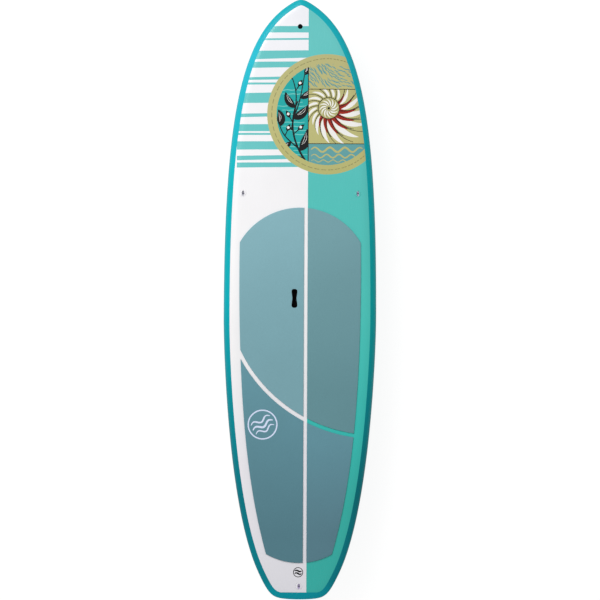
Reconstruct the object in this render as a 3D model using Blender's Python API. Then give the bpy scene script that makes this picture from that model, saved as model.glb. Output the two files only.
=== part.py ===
"""Stand up paddleboard, 10 ft 6 in by 32 in, with deck pads, carry handle, vent, cord plugs and a fin.

Frame: metres. +Z is up off the deck, +Y is the nose and +X is the right side of a paddler facing the nose.
The origin is the middle of the flat stretch of the bottom, so the board lies on the plane z = 0 and its fin
hangs below that plane.
"""

import math

import bmesh
import bpy
import numpy as np
from mathutils import Matrix, Vector

MM = 0.001
GAP = 0.3 * MM

# Plan: the half outline as four cubic curves of (x, y) points, from the nose tip to the middle of the tail.
HALF_LENGTH = 1.600
WIDEST = (0.408, -0.105)
NOSE_SHOULDER = (0.0843, 1.5575)
TAIL_CORNER = (0.1266, -1.5849)
OUTLINE = (
    ((0, HALF_LENGTH), (0.022, HALF_LENGTH), (0.057, 1.577), NOSE_SHOULDER),
    (NOSE_SHOULDER, (0.346, 1.369), (WIDEST[0], 0.868), WIDEST),
    (WIDEST, (WIDEST[0], -0.205), (0.385, -1.371), TAIL_CORNER),
    (TAIL_CORNER, (0.121, -1.5895), (0.020, -HALF_LENGTH), (0, -HALF_LENGTH)),
)
CURVE_STEPS = 70

# Profile: rocker lifts both ends off the flat stretch, and the tail runs out straight under the fin.
FLAT_HALF = 0.45
NOSE_ROCKER = 0.140
NOSE_ROCKER_POWER = 2.2
TAIL_ROCKER = 0.065
TAIL_BEND_LENGTH = 0.60
THICKNESS = 0.115
NOSE_THICKNESS = 0.050
TAIL_THICKNESS = 0.045
TAPER_POWER = 3.0

# Section: the deck is crowned, and deck and bottom roll into the rail over a band along the outline.
CROWN = 0.012
APEX = 0.45
ROLL_POWER = 2.2
DECK_ROLL = (0.055, 0.080)
BOTTOM_ROLL = (0.030, 0.058)

# Mesh of the board's surface.
SIDE_STATIONS = 30
END_CLUSTERING = 0.9
COLUMNS = (1.0, 0.93, 0.80, 0.45, 0.0, -0.45, -0.80, -0.93, -1.0)
CORNER_NORMAL = (0.34, -0.94)
FOLD_TOLERANCE = 0.05 * MM

# Laminate: the rail shell wraps up onto the deck as far as SEAM, where the deck shell starts.
SEAM = 0.032
SHELL = 3.0 * MM
RAIL_RINGS = (0.0025, 0.009, 0.019, SEAM)
BOTTOM_RINGS = (0.003, 0.011, 0.024, 0.042)
STRINGER = 4.0 * MM

# Deck pads: four pieces of foam, split along the board and across it by a curved groove.
PAD_THICKNESS = 5.0 * MM
PAD_HALF_WIDTH = 0.324
PAD_WIDEST_Y = 0.12
PAD_TAPER = (0.0403, 0.0127)
PAD_TOP_ARC = (0.0, 0.119, 0.373)
PAD_TAIL_ARC = (0.0, -1.047, 0.356)
PAD_GROOVE_ARC = (0.403, 0.082, 0.801)
PAD_GROOVE = 0.021
LEFT_PAD_EDGE = 0.0205
RIGHT_PAD_EDGE = 0.0400
PAD_EDGE_STEPS = 12
CORNER_ROUNDS = 60
CORNER_SHARE = 0.4

# Carry handle: a dog-bone slot over a finger pocket, whose grip lip lies on the board's middle line.
HANDLE = (-0.0295, 0.008)
SLOT_LENGTH = 0.100
SLOT_END_WIDTH = 0.030
SLOT_WAIST = 0.022
SLOT_WALL = 2.2 * MM
WELL_X = (-0.053, 0.018)
WELL_HALF_LENGTH = 0.062
WELL_DEPTH = 0.036
WELL_WALL = 3.0 * MM
HANDLE_BLOCK_MARGIN = 0.016
SLOT_LIP = 0.5 * MM
ABOVE_DECK = 0.05

# Vent, near the nose.
VENT = (-0.005, 1.4555)
FLUSH_TOP = 0.6 * MM
VENT_FLANGE_RADIUS = 12.75 * MM
VENT_LIP = -1.6 * MM
VENT_BODY_RADIUS = 10.5 * MM
VENT_DEPTH = 22 * MM
VENT_BORE_RADIUS = 6.0 * MM
VENT_FLOOR = -19 * MM
VENT_BREATH_RADIUS = 1.5 * MM
VENT_HEAD_RADIUS = 8.5 * MM
VENT_SEAT = -3.2 * MM
VENT_HEAD_LOW = -1.3 * MM
VENT_STEM_TIP = -15 * MM
VENT_HOLLOW_RADIUS = 4.0 * MM
VENT_COIN_SLOT = (12 * MM, 1.8 * MM, 1.3 * MM)
VENT_MEMBRANE_Z = (-9.6 * MM, -9 * MM)
O_RING_RADII = (7.1 * MM, 0.75 * MM)

# Cord plugs: two tie-downs ahead of the pads and the leash plug at the tail.
PLUGS = {
    "tie_down_left": (-0.3065, 0.568),
    "tie_down_right": (0.3065, 0.568),
    "leash_plug": (0.0, -1.529),
}
PLUG_FLANGE_RADIUS = 17 * MM
PLUG_LIP = -1.4 * MM
PLUG_BODY_RADIUS = 15.5 * MM
PLUG_DEPTH = 19 * MM
PLUG_SLOT_LENGTH = 27 * MM
PLUG_SLOT_WIDTH = 13.5 * MM
PLUG_SLOT_DEPTH = 15.5 * MM
BAR_RADIUS = 2.5 * MM
BAR_LENGTH = 22 * MM
BAR_DEPTH = 5.5 * MM

# Fin box: a slotted channel in the bottom. Its frame has +Y towards the nose and +Z up into the board.
FIN_BOX_Y = -1.270
BOX_LENGTH = 0.270
BOX_WIDTH = 0.0254
BOX_DEPTH = 0.028
CHANNEL_LENGTH = 0.258
CHANNEL_WIDTH = 0.0098
CHANNEL_DEPTH = 0.0225
CHANNEL_END = 0.008
GROOVE_WIDTH = 0.0154
GROOVE_Z = (0.0088, 0.0146)
ENTRY_LENGTH = 0.016
BLOCK_MARGIN = 0.016
BELOW_BOTTOM = 0.03

# Fin: a foil on a tab that fills the channel's width. A pin holds its back end and a screw its front.
FIN_TAB = 0.0095
TAB_BACK = -0.084
TAB_FRONT = 0.080
TAB_TOP = 0.0185
LUG_LENGTH = 0.026
LUG_Z = (0.0036, 0.0080)
LUG_ROOT = 0.005
PIN_RADIUS = 2.35 * MM
PIN_LENGTH = 14.4 * MM
PIN_Y = -0.077
SCREW_Y = 0.067
SCREW_RADIUS = 2.1 * MM
SCREW_HEAD_RADIUS = 3.9 * MM
SCREW_TIP_Z = 0.0200
SCREW_TIP_BEVEL = (0.6 * MM, 1.0 * MM)
SCREW_HEAD_HEIGHT = 2.6 * MM
DRIVER_SLOT = (5.2 * MM, 0.9 * MM, 1.3 * MM)
SCREW_PLAY = 0.25 * MM
PLATE_SIDE = (0.0140, 0.0128)
PLATE_THICKNESS = 0.0030
FIN_DEPTH = 0.228
FIN_ROOT_CHORD = 0.168
FIN_ROOT_Z = -1.5 * MM
FIN_ROOT_TOP = -4.0 * MM
FIN_SWEEP = (0.070, 0.135)
FIN_TRAILING = (0.030, 0.050)
FIN_THICKEST = 0.32
FIN_THINNING = 0.62
FIN_TIP = 0.985
FIN_SECTIONS = 9
FOIL_POINTS = 7
FOIL_SHAPE = (2.6, 0.9)

COLOURS = {
    "teal_gelcoat": ("2ab4bf", 0.25, 0.0),
    "deck_gelcoat": ("f4f3f6", 0.30, 0.0),
    "core_foam": ("f7f7f4", 0.90, 0.0),
    "dense_foam": ("d9c98f", 0.85, 0.0),
    "stringer_wood": ("c79a62", 0.60, 0.0),
    "pad_foam": ("7aa7b1", 0.90, 0.0),
    "black_plastic": ("0b0b0c", 0.45, 0.0),
    "white_plastic": ("f2f2f2", 0.40, 0.0),
    "seal_rubber": ("151515", 0.80, 0.0),
    "vent_fabric": ("e8e8e8", 0.80, 0.0),
    "steel": ("c4c6c8", 0.25, 1.0),
    "brass": ("b8954a", 0.30, 1.0),
}


# ---------------------------------------------------------------- plan


def cubic(points, steps):
    """Points along one cubic curve."""
    a, b, c, d = np.array(points, float)
    t = np.linspace(0, 1, steps)[:, None]
    return (1 - t) ** 3 * a + 3 * (1 - t) ** 2 * t * b + 3 * (1 - t) * t**2 * c + t**3 * d


def half_outline():
    """The right half of the outline, from the nose tip to the middle of the tail."""
    curves = [cubic(points, CURVE_STEPS) for points in OUTLINE]
    return np.vstack([curves[0]] + [curve[1:] for curve in curves[1:]])


RIGHT_HALF = half_outline()
WHOLE = np.vstack([RIGHT_HALF, RIGHT_HALF[-2::-1] * (-1, 1)])


def edge_distance(points):
    """How far each point (x, y) lies from the outline."""
    start = WHOLE[:-1]
    run = WHOLE[1:] - start
    to = points[:, None, :] - start
    t = np.clip((to * run).sum(2) / (run**2).sum(1), 0, 1)
    return np.linalg.norm(to - t[..., None] * run, axis=2).min(1)


def half_width(y):
    return np.interp(-np.asarray(y), -RIGHT_HALF[:, 1], RIGHT_HALF[:, 0])


def inset_curve(inset):
    """The right half of the outline moved in by a distance, without the parts that fold over themselves."""
    if inset == 0:
        return RIGHT_HALF
    run = np.gradient(RIGHT_HALF, axis=0)
    normal = np.column_stack([run[:, 1], -run[:, 0]])
    moved = RIGHT_HALF + inset * normal / np.linalg.norm(normal, axis=1)[:, None]
    moved = moved[(moved[:, 0] >= 0) & (edge_distance(moved) > inset - FOLD_TOLERANCE)]
    nose = moved[0] - (moved[1] - moved[0]) * moved[0, 0] / (moved[1, 0] - moved[0, 0] or 1)
    return np.vstack([[0, nose[1]], moved, [0, moved[-1, 1]]])


def along(curve, fractions):
    """Points at these fractions of a curve's length."""
    length = np.concatenate([[0], np.cumsum(np.linalg.norm(np.diff(curve, axis=0), axis=1))])
    at = np.asarray(fractions) * length[-1]
    return np.column_stack([np.interp(at, length, curve[:, 0]), np.interp(at, length, curve[:, 1])])


# ---------------------------------------------------------------- heights


def rocker(y):
    """Height of the bottom's middle line."""
    nose = np.clip((y - FLAT_HALF) / (HALF_LENGTH - FLAT_HALF), 0, 1)
    run = np.clip(-y - FLAT_HALF, 0, None)
    bent = np.minimum(run, TAIL_BEND_LENGTH)
    straight = HALF_LENGTH - FLAT_HALF - TAIL_BEND_LENGTH
    rate = TAIL_ROCKER / (TAIL_BEND_LENGTH**2 + 2 * TAIL_BEND_LENGTH * straight)
    tail = rate * (bent**2 + 2 * TAIL_BEND_LENGTH * (run - bent))
    return NOSE_ROCKER * nose**NOSE_ROCKER_POWER + tail


def thickness(y):
    end = np.where(y > 0, NOSE_THICKNESS, TAIL_THICKNESS)
    return end + (THICKNESS - end) * (1 - np.abs(y / HALF_LENGTH) ** TAPER_POWER)


def apex(y):
    """Height of the rail's outermost line."""
    return rocker(y) + APEX * thickness(y)


def roll(distance, band, y):
    """0 at the outline, rising to 1 once the band is crossed. The band is narrower at the ends."""
    width = band[1] - (band[1] - band[0]) * np.abs(y / HALF_LENGTH) ** 2
    left = np.clip(1 - distance / width, 0, 1)
    return (1 - left**ROLL_POWER) ** (1 / ROLL_POWER)


def deck_height(points):
    x, y = points.T
    across = x / np.maximum(half_width(y), 1 * MM)
    top = rocker(y) + thickness(y) - CROWN * across**2
    return apex(y) + (top - apex(y)) * roll(edge_distance(points), DECK_ROLL, y)


def bottom_height(points):
    y = points[:, 1]
    return apex(y) - (apex(y) - rocker(y)) * roll(edge_distance(points), BOTTOM_ROLL, y)


def surface_frame(x, y, height):
    """A frame on the surface at (x, y): local Z is square to the surface and leans up."""
    step = 2 * MM
    around = np.array([(x, y), (x + step, y), (x, y + step)])
    z, z_right, z_ahead = height(around)
    right = Vector((step, 0, z_right - z)).normalized()
    up = right.cross(Vector((0, step, z_ahead - z))).normalized()
    ahead = up.cross(right)
    frame = Matrix((right, ahead, up)).transposed().to_4x4()
    frame.translation = (x, y, z)
    return frame


# ---------------------------------------------------------------- the board's surface


def stations():
    even = np.linspace(0, 1, SIDE_STATIONS + 1)
    return (1 - END_CLUSTERING) * even + END_CLUSTERING * (1 - np.cos(math.pi * even)) / 2


def ring(inset):
    """One closed ring of points: nose tip, right side, tail from right to left, left side."""
    curve = inset_curve(inset)
    corner = int(np.argmax(curve @ CORNER_NORMAL))
    side = along(curve[: corner + 1], stations())
    side[0, 0] = 0
    tail = curve[corner:][::-1]
    x = side[-1, 0] * np.array(COLUMNS[1:-1])
    row = np.column_stack([x, np.interp(np.abs(x), tail[:, 0], tail[:, 1])])
    left = side[:0:-1] * (-1, 1)
    return np.vstack([side, row, left])


def halves(a, b, c, d):
    """A four-cornered face as two triangles, so that every layer made from it bends the same way."""
    return [(a, b, c), (a, c, d)]


def strips(first, count, rings):
    """Faces between each ring and the next. Ring k starts at vertex first[k]."""
    faces = []
    for a, b in zip(rings[:-1], rings[1:]):
        for i in range(count):
            j = (i + 1) % count
            faces += halves(first[a] + i, first[b] + i, first[b] + j, first[a] + j)
    return faces


def board_surface():
    """The closed outer surface: (vertices, {part: faces}, the two rings of vertices along the seam)."""
    columns = len(COLUMNS) - 1
    side = SIDE_STATIONS
    count = 2 * side + columns
    vertices = []
    start = {}

    def add(name, points, z):
        start[name] = len(vertices)
        vertices.extend(np.column_stack([points, z]))

    outline = ring(0)
    add("apex", outline, apex(outline[:, 1]))
    deck_insets = RAIL_RINGS + (SEAM + GAP,)
    for inset in deck_insets:
        points = ring(inset)
        add(("deck", inset), points, deck_height(points))
    for inset in BOTTOM_RINGS:
        points = ring(inset)
        add(("bottom", inset), points, bottom_height(points))

    def patch(name, inset, height):
        """Rows of quads from the right side to the left, inside the last ring."""
        outer = start[(name, inset)]
        points = ring(inset)
        inner = [(s * points[j, 0], points[j, 1]) for j in range(1, side) for s in COLUMNS[1:-1]]
        inner = np.array(inner)
        add((name, "patch"), inner, height(inner))
        first = start[(name, "patch")]

        def at(j, k):
            if k == 0:
                return outer + j
            if k == columns:
                return outer + (count - j) % count
            if j == side:
                return outer + side + k
            return first + (j - 1) * (columns - 1) + k - 1

        faces = [(outer, at(1, k), at(1, k + 1)) for k in range(columns)]
        for j in range(1, side):
            for k in range(columns):
                faces += halves(at(j, k), at(j + 1, k), at(j + 1, k + 1), at(j, k + 1))
        return faces

    rail = ["apex"] + [("deck", inset) for inset in RAIL_RINGS]
    under = ["apex"] + [("bottom", inset) for inset in BOTTOM_RINGS]
    faces = {
        "rail": strips(start, count, rail) + strips(start, count, under),
        "seam": strips(start, count, [("deck", SEAM), ("deck", SEAM + GAP)]),
        "deck": patch("deck", SEAM + GAP, deck_height),
        "bottom": patch("bottom", BOTTOM_RINGS[-1], bottom_height),
    }
    seam = [start[("deck", inset)] + np.arange(count) for inset in (SEAM, SEAM + GAP)]
    return np.array(vertices), faces, seam


def oriented(vertices, faces):
    """The faces of a closed surface, turned to face out, and the vertex normals."""
    mesh = bmesh.new()
    corners = [mesh.verts.new(point) for point in vertices]
    made = [mesh.faces.new([corners[i] for i in face]) for face in faces]
    mesh.verts.index_update()
    bmesh.ops.recalc_face_normals(mesh, faces=mesh.faces)
    mesh.normal_update()
    turned_faces = [tuple(vertex.index for vertex in face.verts) for face in made]
    normals = np.array([vertex.normal for vertex in mesh.verts])
    mesh.free()
    return turned_faces, normals


# ---------------------------------------------------------------- Blender objects


def material(name):
    """A Principled material from the colour table."""
    if name in bpy.data.materials:
        return bpy.data.materials[name]
    code, roughness, metallic = COLOURS[name]
    srgb = [int(code[i : i + 2], 16) / 255 for i in (0, 2, 4)]
    linear = [c / 12.92 if c <= 0.04045 else ((c + 0.055) / 1.055) ** 2.4 for c in srgb]
    made = bpy.data.materials.new(name)
    made.use_nodes = True
    shader = made.node_tree.nodes["Principled BSDF"]
    shader.inputs["Base Color"].default_value = (*linear, 1)
    shader.inputs["Roughness"].default_value = roughness
    shader.inputs["Metallic"].default_value = metallic
    made.diffuse_color = (*linear, 1)
    return made


def add_object(name, vertices, faces, colour=None, frame=None):
    """A closed mesh object. Without a colour it is a cutter: hidden from the build and drawn as wire."""
    mesh = bpy.data.meshes.new(name)
    mesh.from_pydata([tuple(map(float, v)) for v in vertices], [], faces)
    work = bmesh.new()
    work.from_mesh(mesh)
    bmesh.ops.delete(work, geom=[v for v in work.verts if not v.link_faces], context="VERTS")
    bmesh.ops.recalc_face_normals(work, faces=work.faces)
    work.to_mesh(mesh)
    work.free()
    mesh.shade_smooth()
    mesh.set_sharp_from_angle(angle=math.radians(35))
    obj = bpy.data.objects.new(name, mesh)
    bpy.context.scene.collection.objects.link(obj)
    if frame:
        obj.matrix_world = frame
    if colour:
        mesh.materials.append(material(colour))
    else:
        obj.hide_render = True
        obj.display_type = "WIRE"
    return obj


def combine(obj, other, operation):
    modifier = obj.modifiers.new(f"{operation} {other.name}", "BOOLEAN")
    modifier.operation = operation
    modifier.object = other
    modifier.solver = "EXACT"


def cut(obj, *cutters):
    for cutter in cutters:
        combine(obj, cutter, "DIFFERENCE")


def prism(outline, low, high):
    """A closed solid with this plan, from z = low to z = high."""
    count = len(outline)
    vertices = [(x, y, low) for x, y in outline] + [(x, y, high) for x, y in outline]
    faces = [tuple(range(count)), tuple(range(count, 2 * count))]
    faces += [(i, (i + 1) % count, count + (i + 1) % count, count + i) for i in range(count)]
    return vertices, faces


def box(low, high):
    outline = [(low[0], low[1]), (high[0], low[1]), (high[0], high[1]), (low[0], high[1])]
    return prism(outline, low[2], high[2])


def turned(profile, sides):
    """A turned solid about Z. Its profile of (radius, z) points starts and ends on the axis, or is a loop."""
    vertices = []
    rows = []
    for radius, z in profile:
        if radius == 0:
            rows.append([len(vertices)] * sides)
            vertices.append((0, 0, z))
            continue
        rows.append(list(range(len(vertices), len(vertices) + sides)))
        angles = [2 * math.pi * i / sides for i in range(sides)]
        vertices += [(radius * math.cos(a), radius * math.sin(a), z) for a in angles]
    on_axis = profile[0][0] == 0
    pairs = list(zip(rows, rows[1:])) + ([] if on_axis else [(rows[-1], rows[0])])
    faces = []
    for a, b in pairs:
        for i in range(sides):
            j = (i + 1) % sides
            corners = (a[i], a[j], b[j], b[i])
            faces.append(tuple(dict.fromkeys(corners)))
    return vertices, faces


def stadium(length, width, steps=6):
    """A slot outline with round ends, long along Y."""
    radius = width / 2
    straight = length / 2 - radius
    angles = [math.pi * i / steps for i in range(steps + 1)]
    ahead = [(radius * math.cos(a), straight + radius * math.sin(a)) for a in angles]
    return ahead + [(-x, -y) for x, y in ahead]


def cross(length, width):
    """The outline of a cross with four equal arms."""
    far, near = length / 2, width / 2
    arm = [(far, -near), (far, near), (near, near)]
    quarter_turns = [(1, 0), (0, 1), (-1, 0), (0, -1)]
    return [(x * c - y * s, x * s + y * c) for c, s in quarter_turns for x, y in arm]


def dog_bone(grow=0.0, steps=9):
    """The handle slot's outline about its own middle, grown by a distance."""
    end = SLOT_END_WIDTH / 2 + grow
    waist = SLOT_WAIST / 2 + grow
    tip = SLOT_LENGTH / 2 + grow
    shoulder = tip - 0.9 * end
    quarter = []
    for i in range(steps):
        y = shoulder * i / steps
        quarter.append((waist + (end - waist) * math.sin(math.pi / 2 * y / shoulder) ** 2, y))
    for i in range(steps + 1):
        a = math.pi / 2 * i / steps
        round_x = math.cos(a) ** 0.85
        round_y = math.sin(a) ** 0.85
        quarter.append((end * round_x, shoulder + (tip - shoulder) * round_y))
    ahead = quarter + [(-x, y) for x, y in quarter[-2::-1]]
    return ahead + [(x, -y) for x, y in ahead[-2:0:-1]]


# ---------------------------------------------------------------- hull pieces


def skin(name, vertices, normals, faces, depth, colour):
    """A shell on these faces of the surface, going in by its depth."""
    count = len(vertices)
    inner = vertices - normals * depth
    edges = {}
    for face in faces:
        for a, b in zip(face, face[1:] + face[:1]):
            edges[(a, b)] = True
    rim = [(b, a, a + count, b + count) for a, b in edges if (b, a) not in edges]
    inside = [tuple(i + count for i in reversed(face)) for face in faces]
    return add_object(name, np.vstack([vertices, inner]), list(faces) + inside + rim, colour)


def slab(vertices, faces, low, high):
    """The deck patch as a closed layer between two heights above the deck."""
    lift_low = vertices + (0, 0, low)
    lift_high = vertices + (0, 0, high)
    count = len(vertices)
    edges = {(a, b) for face in faces for a, b in zip(face, face[1:] + face[:1])}
    rim = [(a, b, b + count, a + count) for a, b in edges if (b, a) not in edges]
    above = [tuple(i + count for i in face) for face in faces]
    below = [tuple(reversed(face)) for face in faces]
    return np.vstack([lift_low, lift_high]), above + below + rim


def make_hull():
    """The two laminate shells. Returns the core's closed surface and the pad layer for the other makers."""
    vertices, parts, (rail_seam, deck_seam) = board_surface()
    order = ("rail", "seam", "deck", "bottom")
    everything = [face for part in order for face in parts[part]]
    faces, normals = oriented(vertices, everything)
    shared = normals[rail_seam] + normals[deck_seam]
    shared /= np.linalg.norm(shared, axis=1)[:, None]
    normals[rail_seam] = shared
    normals[deck_seam] = shared
    ends = np.cumsum([len(parts[part]) for part in order])
    groups = dict(zip(order, (faces[a:b] for a, b in zip([0, *ends], ends))))
    skin("bottom_shell", vertices, normals, groups["rail"] + groups["bottom"], SHELL, "teal_gelcoat")
    skin("deck_shell", vertices, normals, groups["deck"], SHELL, "deck_gelcoat")
    core = (vertices - normals * (SHELL + GAP), faces)
    layer = slab(vertices, groups["deck"], GAP, GAP + PAD_THICKNESS)
    return core, layer


def make_core(core, blocks, pockets):
    """Two foam halves glued to a wooden stringer, and the dense foam blocks let into them."""
    reach = 2 * HALF_LENGTH
    edge = STRINGER / 2
    spans = {
        "core_left": (-reach, -edge - GAP, "core_foam"),
        "stringer": (-edge, edge, "stringer_wood"),
        "core_right": (edge + GAP, reach, "core_foam"),
    }
    for name, (low, high, colour) in spans.items():
        piece = add_object(name, *core, colour)
        side = add_object(f"cut_{name}", *box((low, -reach, -1), (high, reach, 1)))
        combine(piece, side, "INTERSECT")
        cut(piece, *pockets[name])
    for name, (solid, pocket) in blocks.items():
        piece = add_object(name, *core, "dense_foam")
        combine(piece, solid, "INTERSECT")
        cut(piece, pocket)


def pad_side(y):
    drop = (y - PAD_WIDEST_Y) ** 2
    return PAD_HALF_WIDTH - PAD_TAPER[0] * drop - PAD_TAPER[1] * drop**2


def arc(x, centre_x, centre_y, radius, side):
    """The y of a circle at x, on its nose side (+1) or its tail side (-1)."""
    return centre_y + side * math.sqrt(radius**2 - (x - centre_x) ** 2)


def pad_outline(inner, sign, front):
    """One pad's plan: inner edge x, side of the board, and whether it lies ahead of the groove."""
    x0, y0, radius = PAD_GROOVE_ARC
    steps = PAD_EDGE_STEPS

    def upper(x):
        return arc(x, *PAD_TOP_ARC, 1) if front else arc(x, x0, y0, radius + PAD_GROOVE, -1)

    def lower(x):
        return arc(x, x0, y0, radius, -1) if front else arc(x, *PAD_TAIL_ARC, -1)

    def corner(curve):
        """Where the pad's side meets the curve, closing in on it by a share of what is left each time."""
        y = curve(sign * PAD_HALF_WIDTH / 2)
        for _ in range(CORNER_ROUNDS):
            y += CORNER_SHARE * (curve(sign * pad_side(y)) - y)
        return y

    top, bottom = corner(upper), corner(lower)
    xs = np.linspace(inner, sign * pad_side(top), steps)
    outline = [(x, upper(x)) for x in xs]
    outline += [(sign * pad_side(y), y) for y in np.linspace(top, bottom, steps)[1:-1]]
    xs = np.linspace(sign * pad_side(bottom), inner, steps)
    return outline + [(x, lower(x)) for x in xs]


def make_pads(layer, slot_cutter):
    pads = {
        "pad_front_left": (LEFT_PAD_EDGE, -1, True),
        "pad_front_right": (RIGHT_PAD_EDGE, 1, True),
        "pad_rear_left": (LEFT_PAD_EDGE, -1, False),
        "pad_rear_right": (RIGHT_PAD_EDGE, 1, False),
    }
    for name, (inner, sign, front) in pads.items():
        pad = add_object(name, *layer, "pad_foam")
        plan = add_object(f"plan_{name}", *prism(pad_outline(inner, sign, front), -1, 1))
        combine(pad, plan, "INTERSECT")
    cut(bpy.data.objects["pad_front_left"], slot_cutter)


# ---------------------------------------------------------------- handle


def make_handle():
    """The moulded well. Returns its slot cutter, its pocket and the solid of its dense foam block."""
    frame = Matrix.Translation((*HANDLE, float(deck_height(np.array([HANDLE]))[0])))
    x_low, x_high = WELL_X[0] - HANDLE[0], WELL_X[1] - HANDLE[0]
    top = -SHELL - 3 * GAP
    low = (x_low, -WELL_HALF_LENGTH, -WELL_DEPTH)
    high = (x_high, WELL_HALF_LENGTH, top)
    well = add_object("handle_well", *box(low, high), "black_plastic", frame)
    lip = PAD_THICKNESS + GAP - SLOT_LIP
    neck = add_object("handle_neck", *prism(dog_bone(), top - WELL_WALL / 2, lip), None, frame)
    inside = [value + WELL_WALL for value in low], [value - WELL_WALL for value in high]
    cavity = add_object("handle_cavity", *box(*inside), None, frame)
    throat_plan = dog_bone(-SLOT_WALL)
    throat = add_object("handle_throat", *prism(throat_plan, top - 2 * WELL_WALL, 2 * lip), None, frame)
    combine(well, neck, "UNION")
    cut(well, cavity, throat)
    slot = add_object("handle_slot", *prism(dog_bone(GAP), -ABOVE_DECK / 2, ABOVE_DECK / 2), None, frame)
    grown = [value - GAP for value in low], (high[0] + GAP, high[1] + GAP, ABOVE_DECK)
    pocket = add_object("handle_pocket", *box(*grown), None, frame)
    margin = HANDLE_BLOCK_MARGIN
    solids = []
    for name, grow in (("handle_block_solid", 0), ("handle_block_pocket", GAP)):
        corner_low = [value - margin - grow for value in low]
        corner_high = (high[0] + margin + grow, high[1] + margin + grow, ABOVE_DECK)
        solids.append(add_object(name, *box(corner_low, corner_high), None, frame))
    return slot, pocket, solids


# ---------------------------------------------------------------- vent


def make_vent():
    """A threaded insert, a slotted plug that unscrews, its seal, and the breathing disc in the plug."""
    frame = surface_frame(*VENT, deck_height)
    flange, body, bore = VENT_FLANGE_RADIUS, VENT_BODY_RADIUS, VENT_BORE_RADIUS
    head, seat, floor = VENT_HEAD_RADIUS, VENT_SEAT, VENT_FLOOR
    housing = (
        (flange, FLUSH_TOP),
        (flange, VENT_LIP),
        (body, VENT_LIP),
        (body, -VENT_DEPTH),
        (VENT_BREATH_RADIUS, -VENT_DEPTH),
        (VENT_BREATH_RADIUS, floor),
        (bore, floor),
        (bore, seat),
        (head + GAP, seat),
        (head + GAP, FLUSH_TOP),
    )
    add_object("vent_housing", *turned(housing, 24), "black_plastic", frame)
    stem, hollow = bore - GAP, VENT_HOLLOW_RADIUS
    roof = VENT_HEAD_LOW - 1 * MM
    plug = (
        (0, FLUSH_TOP),
        (head, FLUSH_TOP),
        (head, VENT_HEAD_LOW),
        (stem, VENT_HEAD_LOW),
        (stem, VENT_STEM_TIP),
        (hollow, VENT_STEM_TIP),
        (hollow, roof),
        (0, roof),
    )
    vent_plug = add_object("vent_plug", *turned(plug, 24), "black_plastic", frame)
    length, width, depth = VENT_COIN_SLOT
    slot = box((-length / 2, -width / 2, FLUSH_TOP - depth), (length / 2, width / 2, 1))
    cut(vent_plug, add_object("vent_coin_slot", *slot, None, frame))
    ring_radius, thick = O_RING_RADII
    middle = (VENT_HEAD_LOW + seat) / 2
    seal = [
        (ring_radius + thick * math.cos(a), middle - thick * math.sin(a))
        for a in (2 * math.pi * i / 6 for i in range(6))
    ]
    add_object("vent_o_ring", *turned(seal, 20), "seal_rubber", frame)
    low, high = VENT_MEMBRANE_Z
    disc = ((0, high), (hollow - GAP, high), (hollow - GAP, low), (0, low))
    add_object("vent_membrane", *turned(disc, 20), "vent_fabric", frame)
    hole = stepped_hole(flange, VENT_LIP, body, VENT_DEPTH)
    return add_object("vent_hole", *turned(hole, 24), None, frame)


def stepped_hole(flange, lip, body, depth):
    """The profile of the hole that a flanged insert sits in, a gap larger than the insert."""
    return (
        (0, ABOVE_DECK),
        (flange + GAP, ABOVE_DECK),
        (flange + GAP, lip - GAP),
        (body + GAP, lip - GAP),
        (body + GAP, -depth - GAP),
        (0, -depth - GAP),
    )


def rod(radius, length, sides=16):
    """A plain cylinder about Z, centred on its middle."""
    half = length / 2
    return turned(((0, half), (radius, half), (radius, -half), (0, -half)), sides)


# ---------------------------------------------------------------- cord plugs


def make_plug(name, place):
    """A flush cup with a slot and the bar across it that a cord loops under. Returns its hole."""
    frame = surface_frame(*place, deck_height)
    flange, body = PLUG_FLANGE_RADIUS, PLUG_BODY_RADIUS
    profile = (
        (0, FLUSH_TOP),
        (flange - 1 * MM, FLUSH_TOP),
        (flange, 0),
        (flange, PLUG_LIP),
        (body, PLUG_LIP),
        (body, -PLUG_DEPTH),
        (0, -PLUG_DEPTH),
    )
    cup = add_object(f"{name}_cup", *turned(profile, 24), "white_plastic", frame)
    opening = prism(stadium(PLUG_SLOT_LENGTH, PLUG_SLOT_WIDTH), -PLUG_SLOT_DEPTH, ABOVE_DECK)
    slot = add_object(f"{name}_slot", *opening, None, frame)
    across = frame @ Matrix.Translation((0, 0, -BAR_DEPTH)) @ Matrix.Rotation(math.pi / 2, 4, "Y")
    bar_hole = rod(BAR_RADIUS + GAP, BAR_LENGTH + 2 * GAP)
    cut(cup, slot, add_object(f"{name}_bar_hole", *bar_hole, None, across))
    add_object(f"{name}_bar", *rod(BAR_RADIUS, BAR_LENGTH), "steel", across)
    hole = stepped_hole(flange, PLUG_LIP, body, PLUG_DEPTH)
    return add_object(f"{name}_hole", *turned(hole, 24), None, frame)


# ---------------------------------------------------------------- fin box


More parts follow.
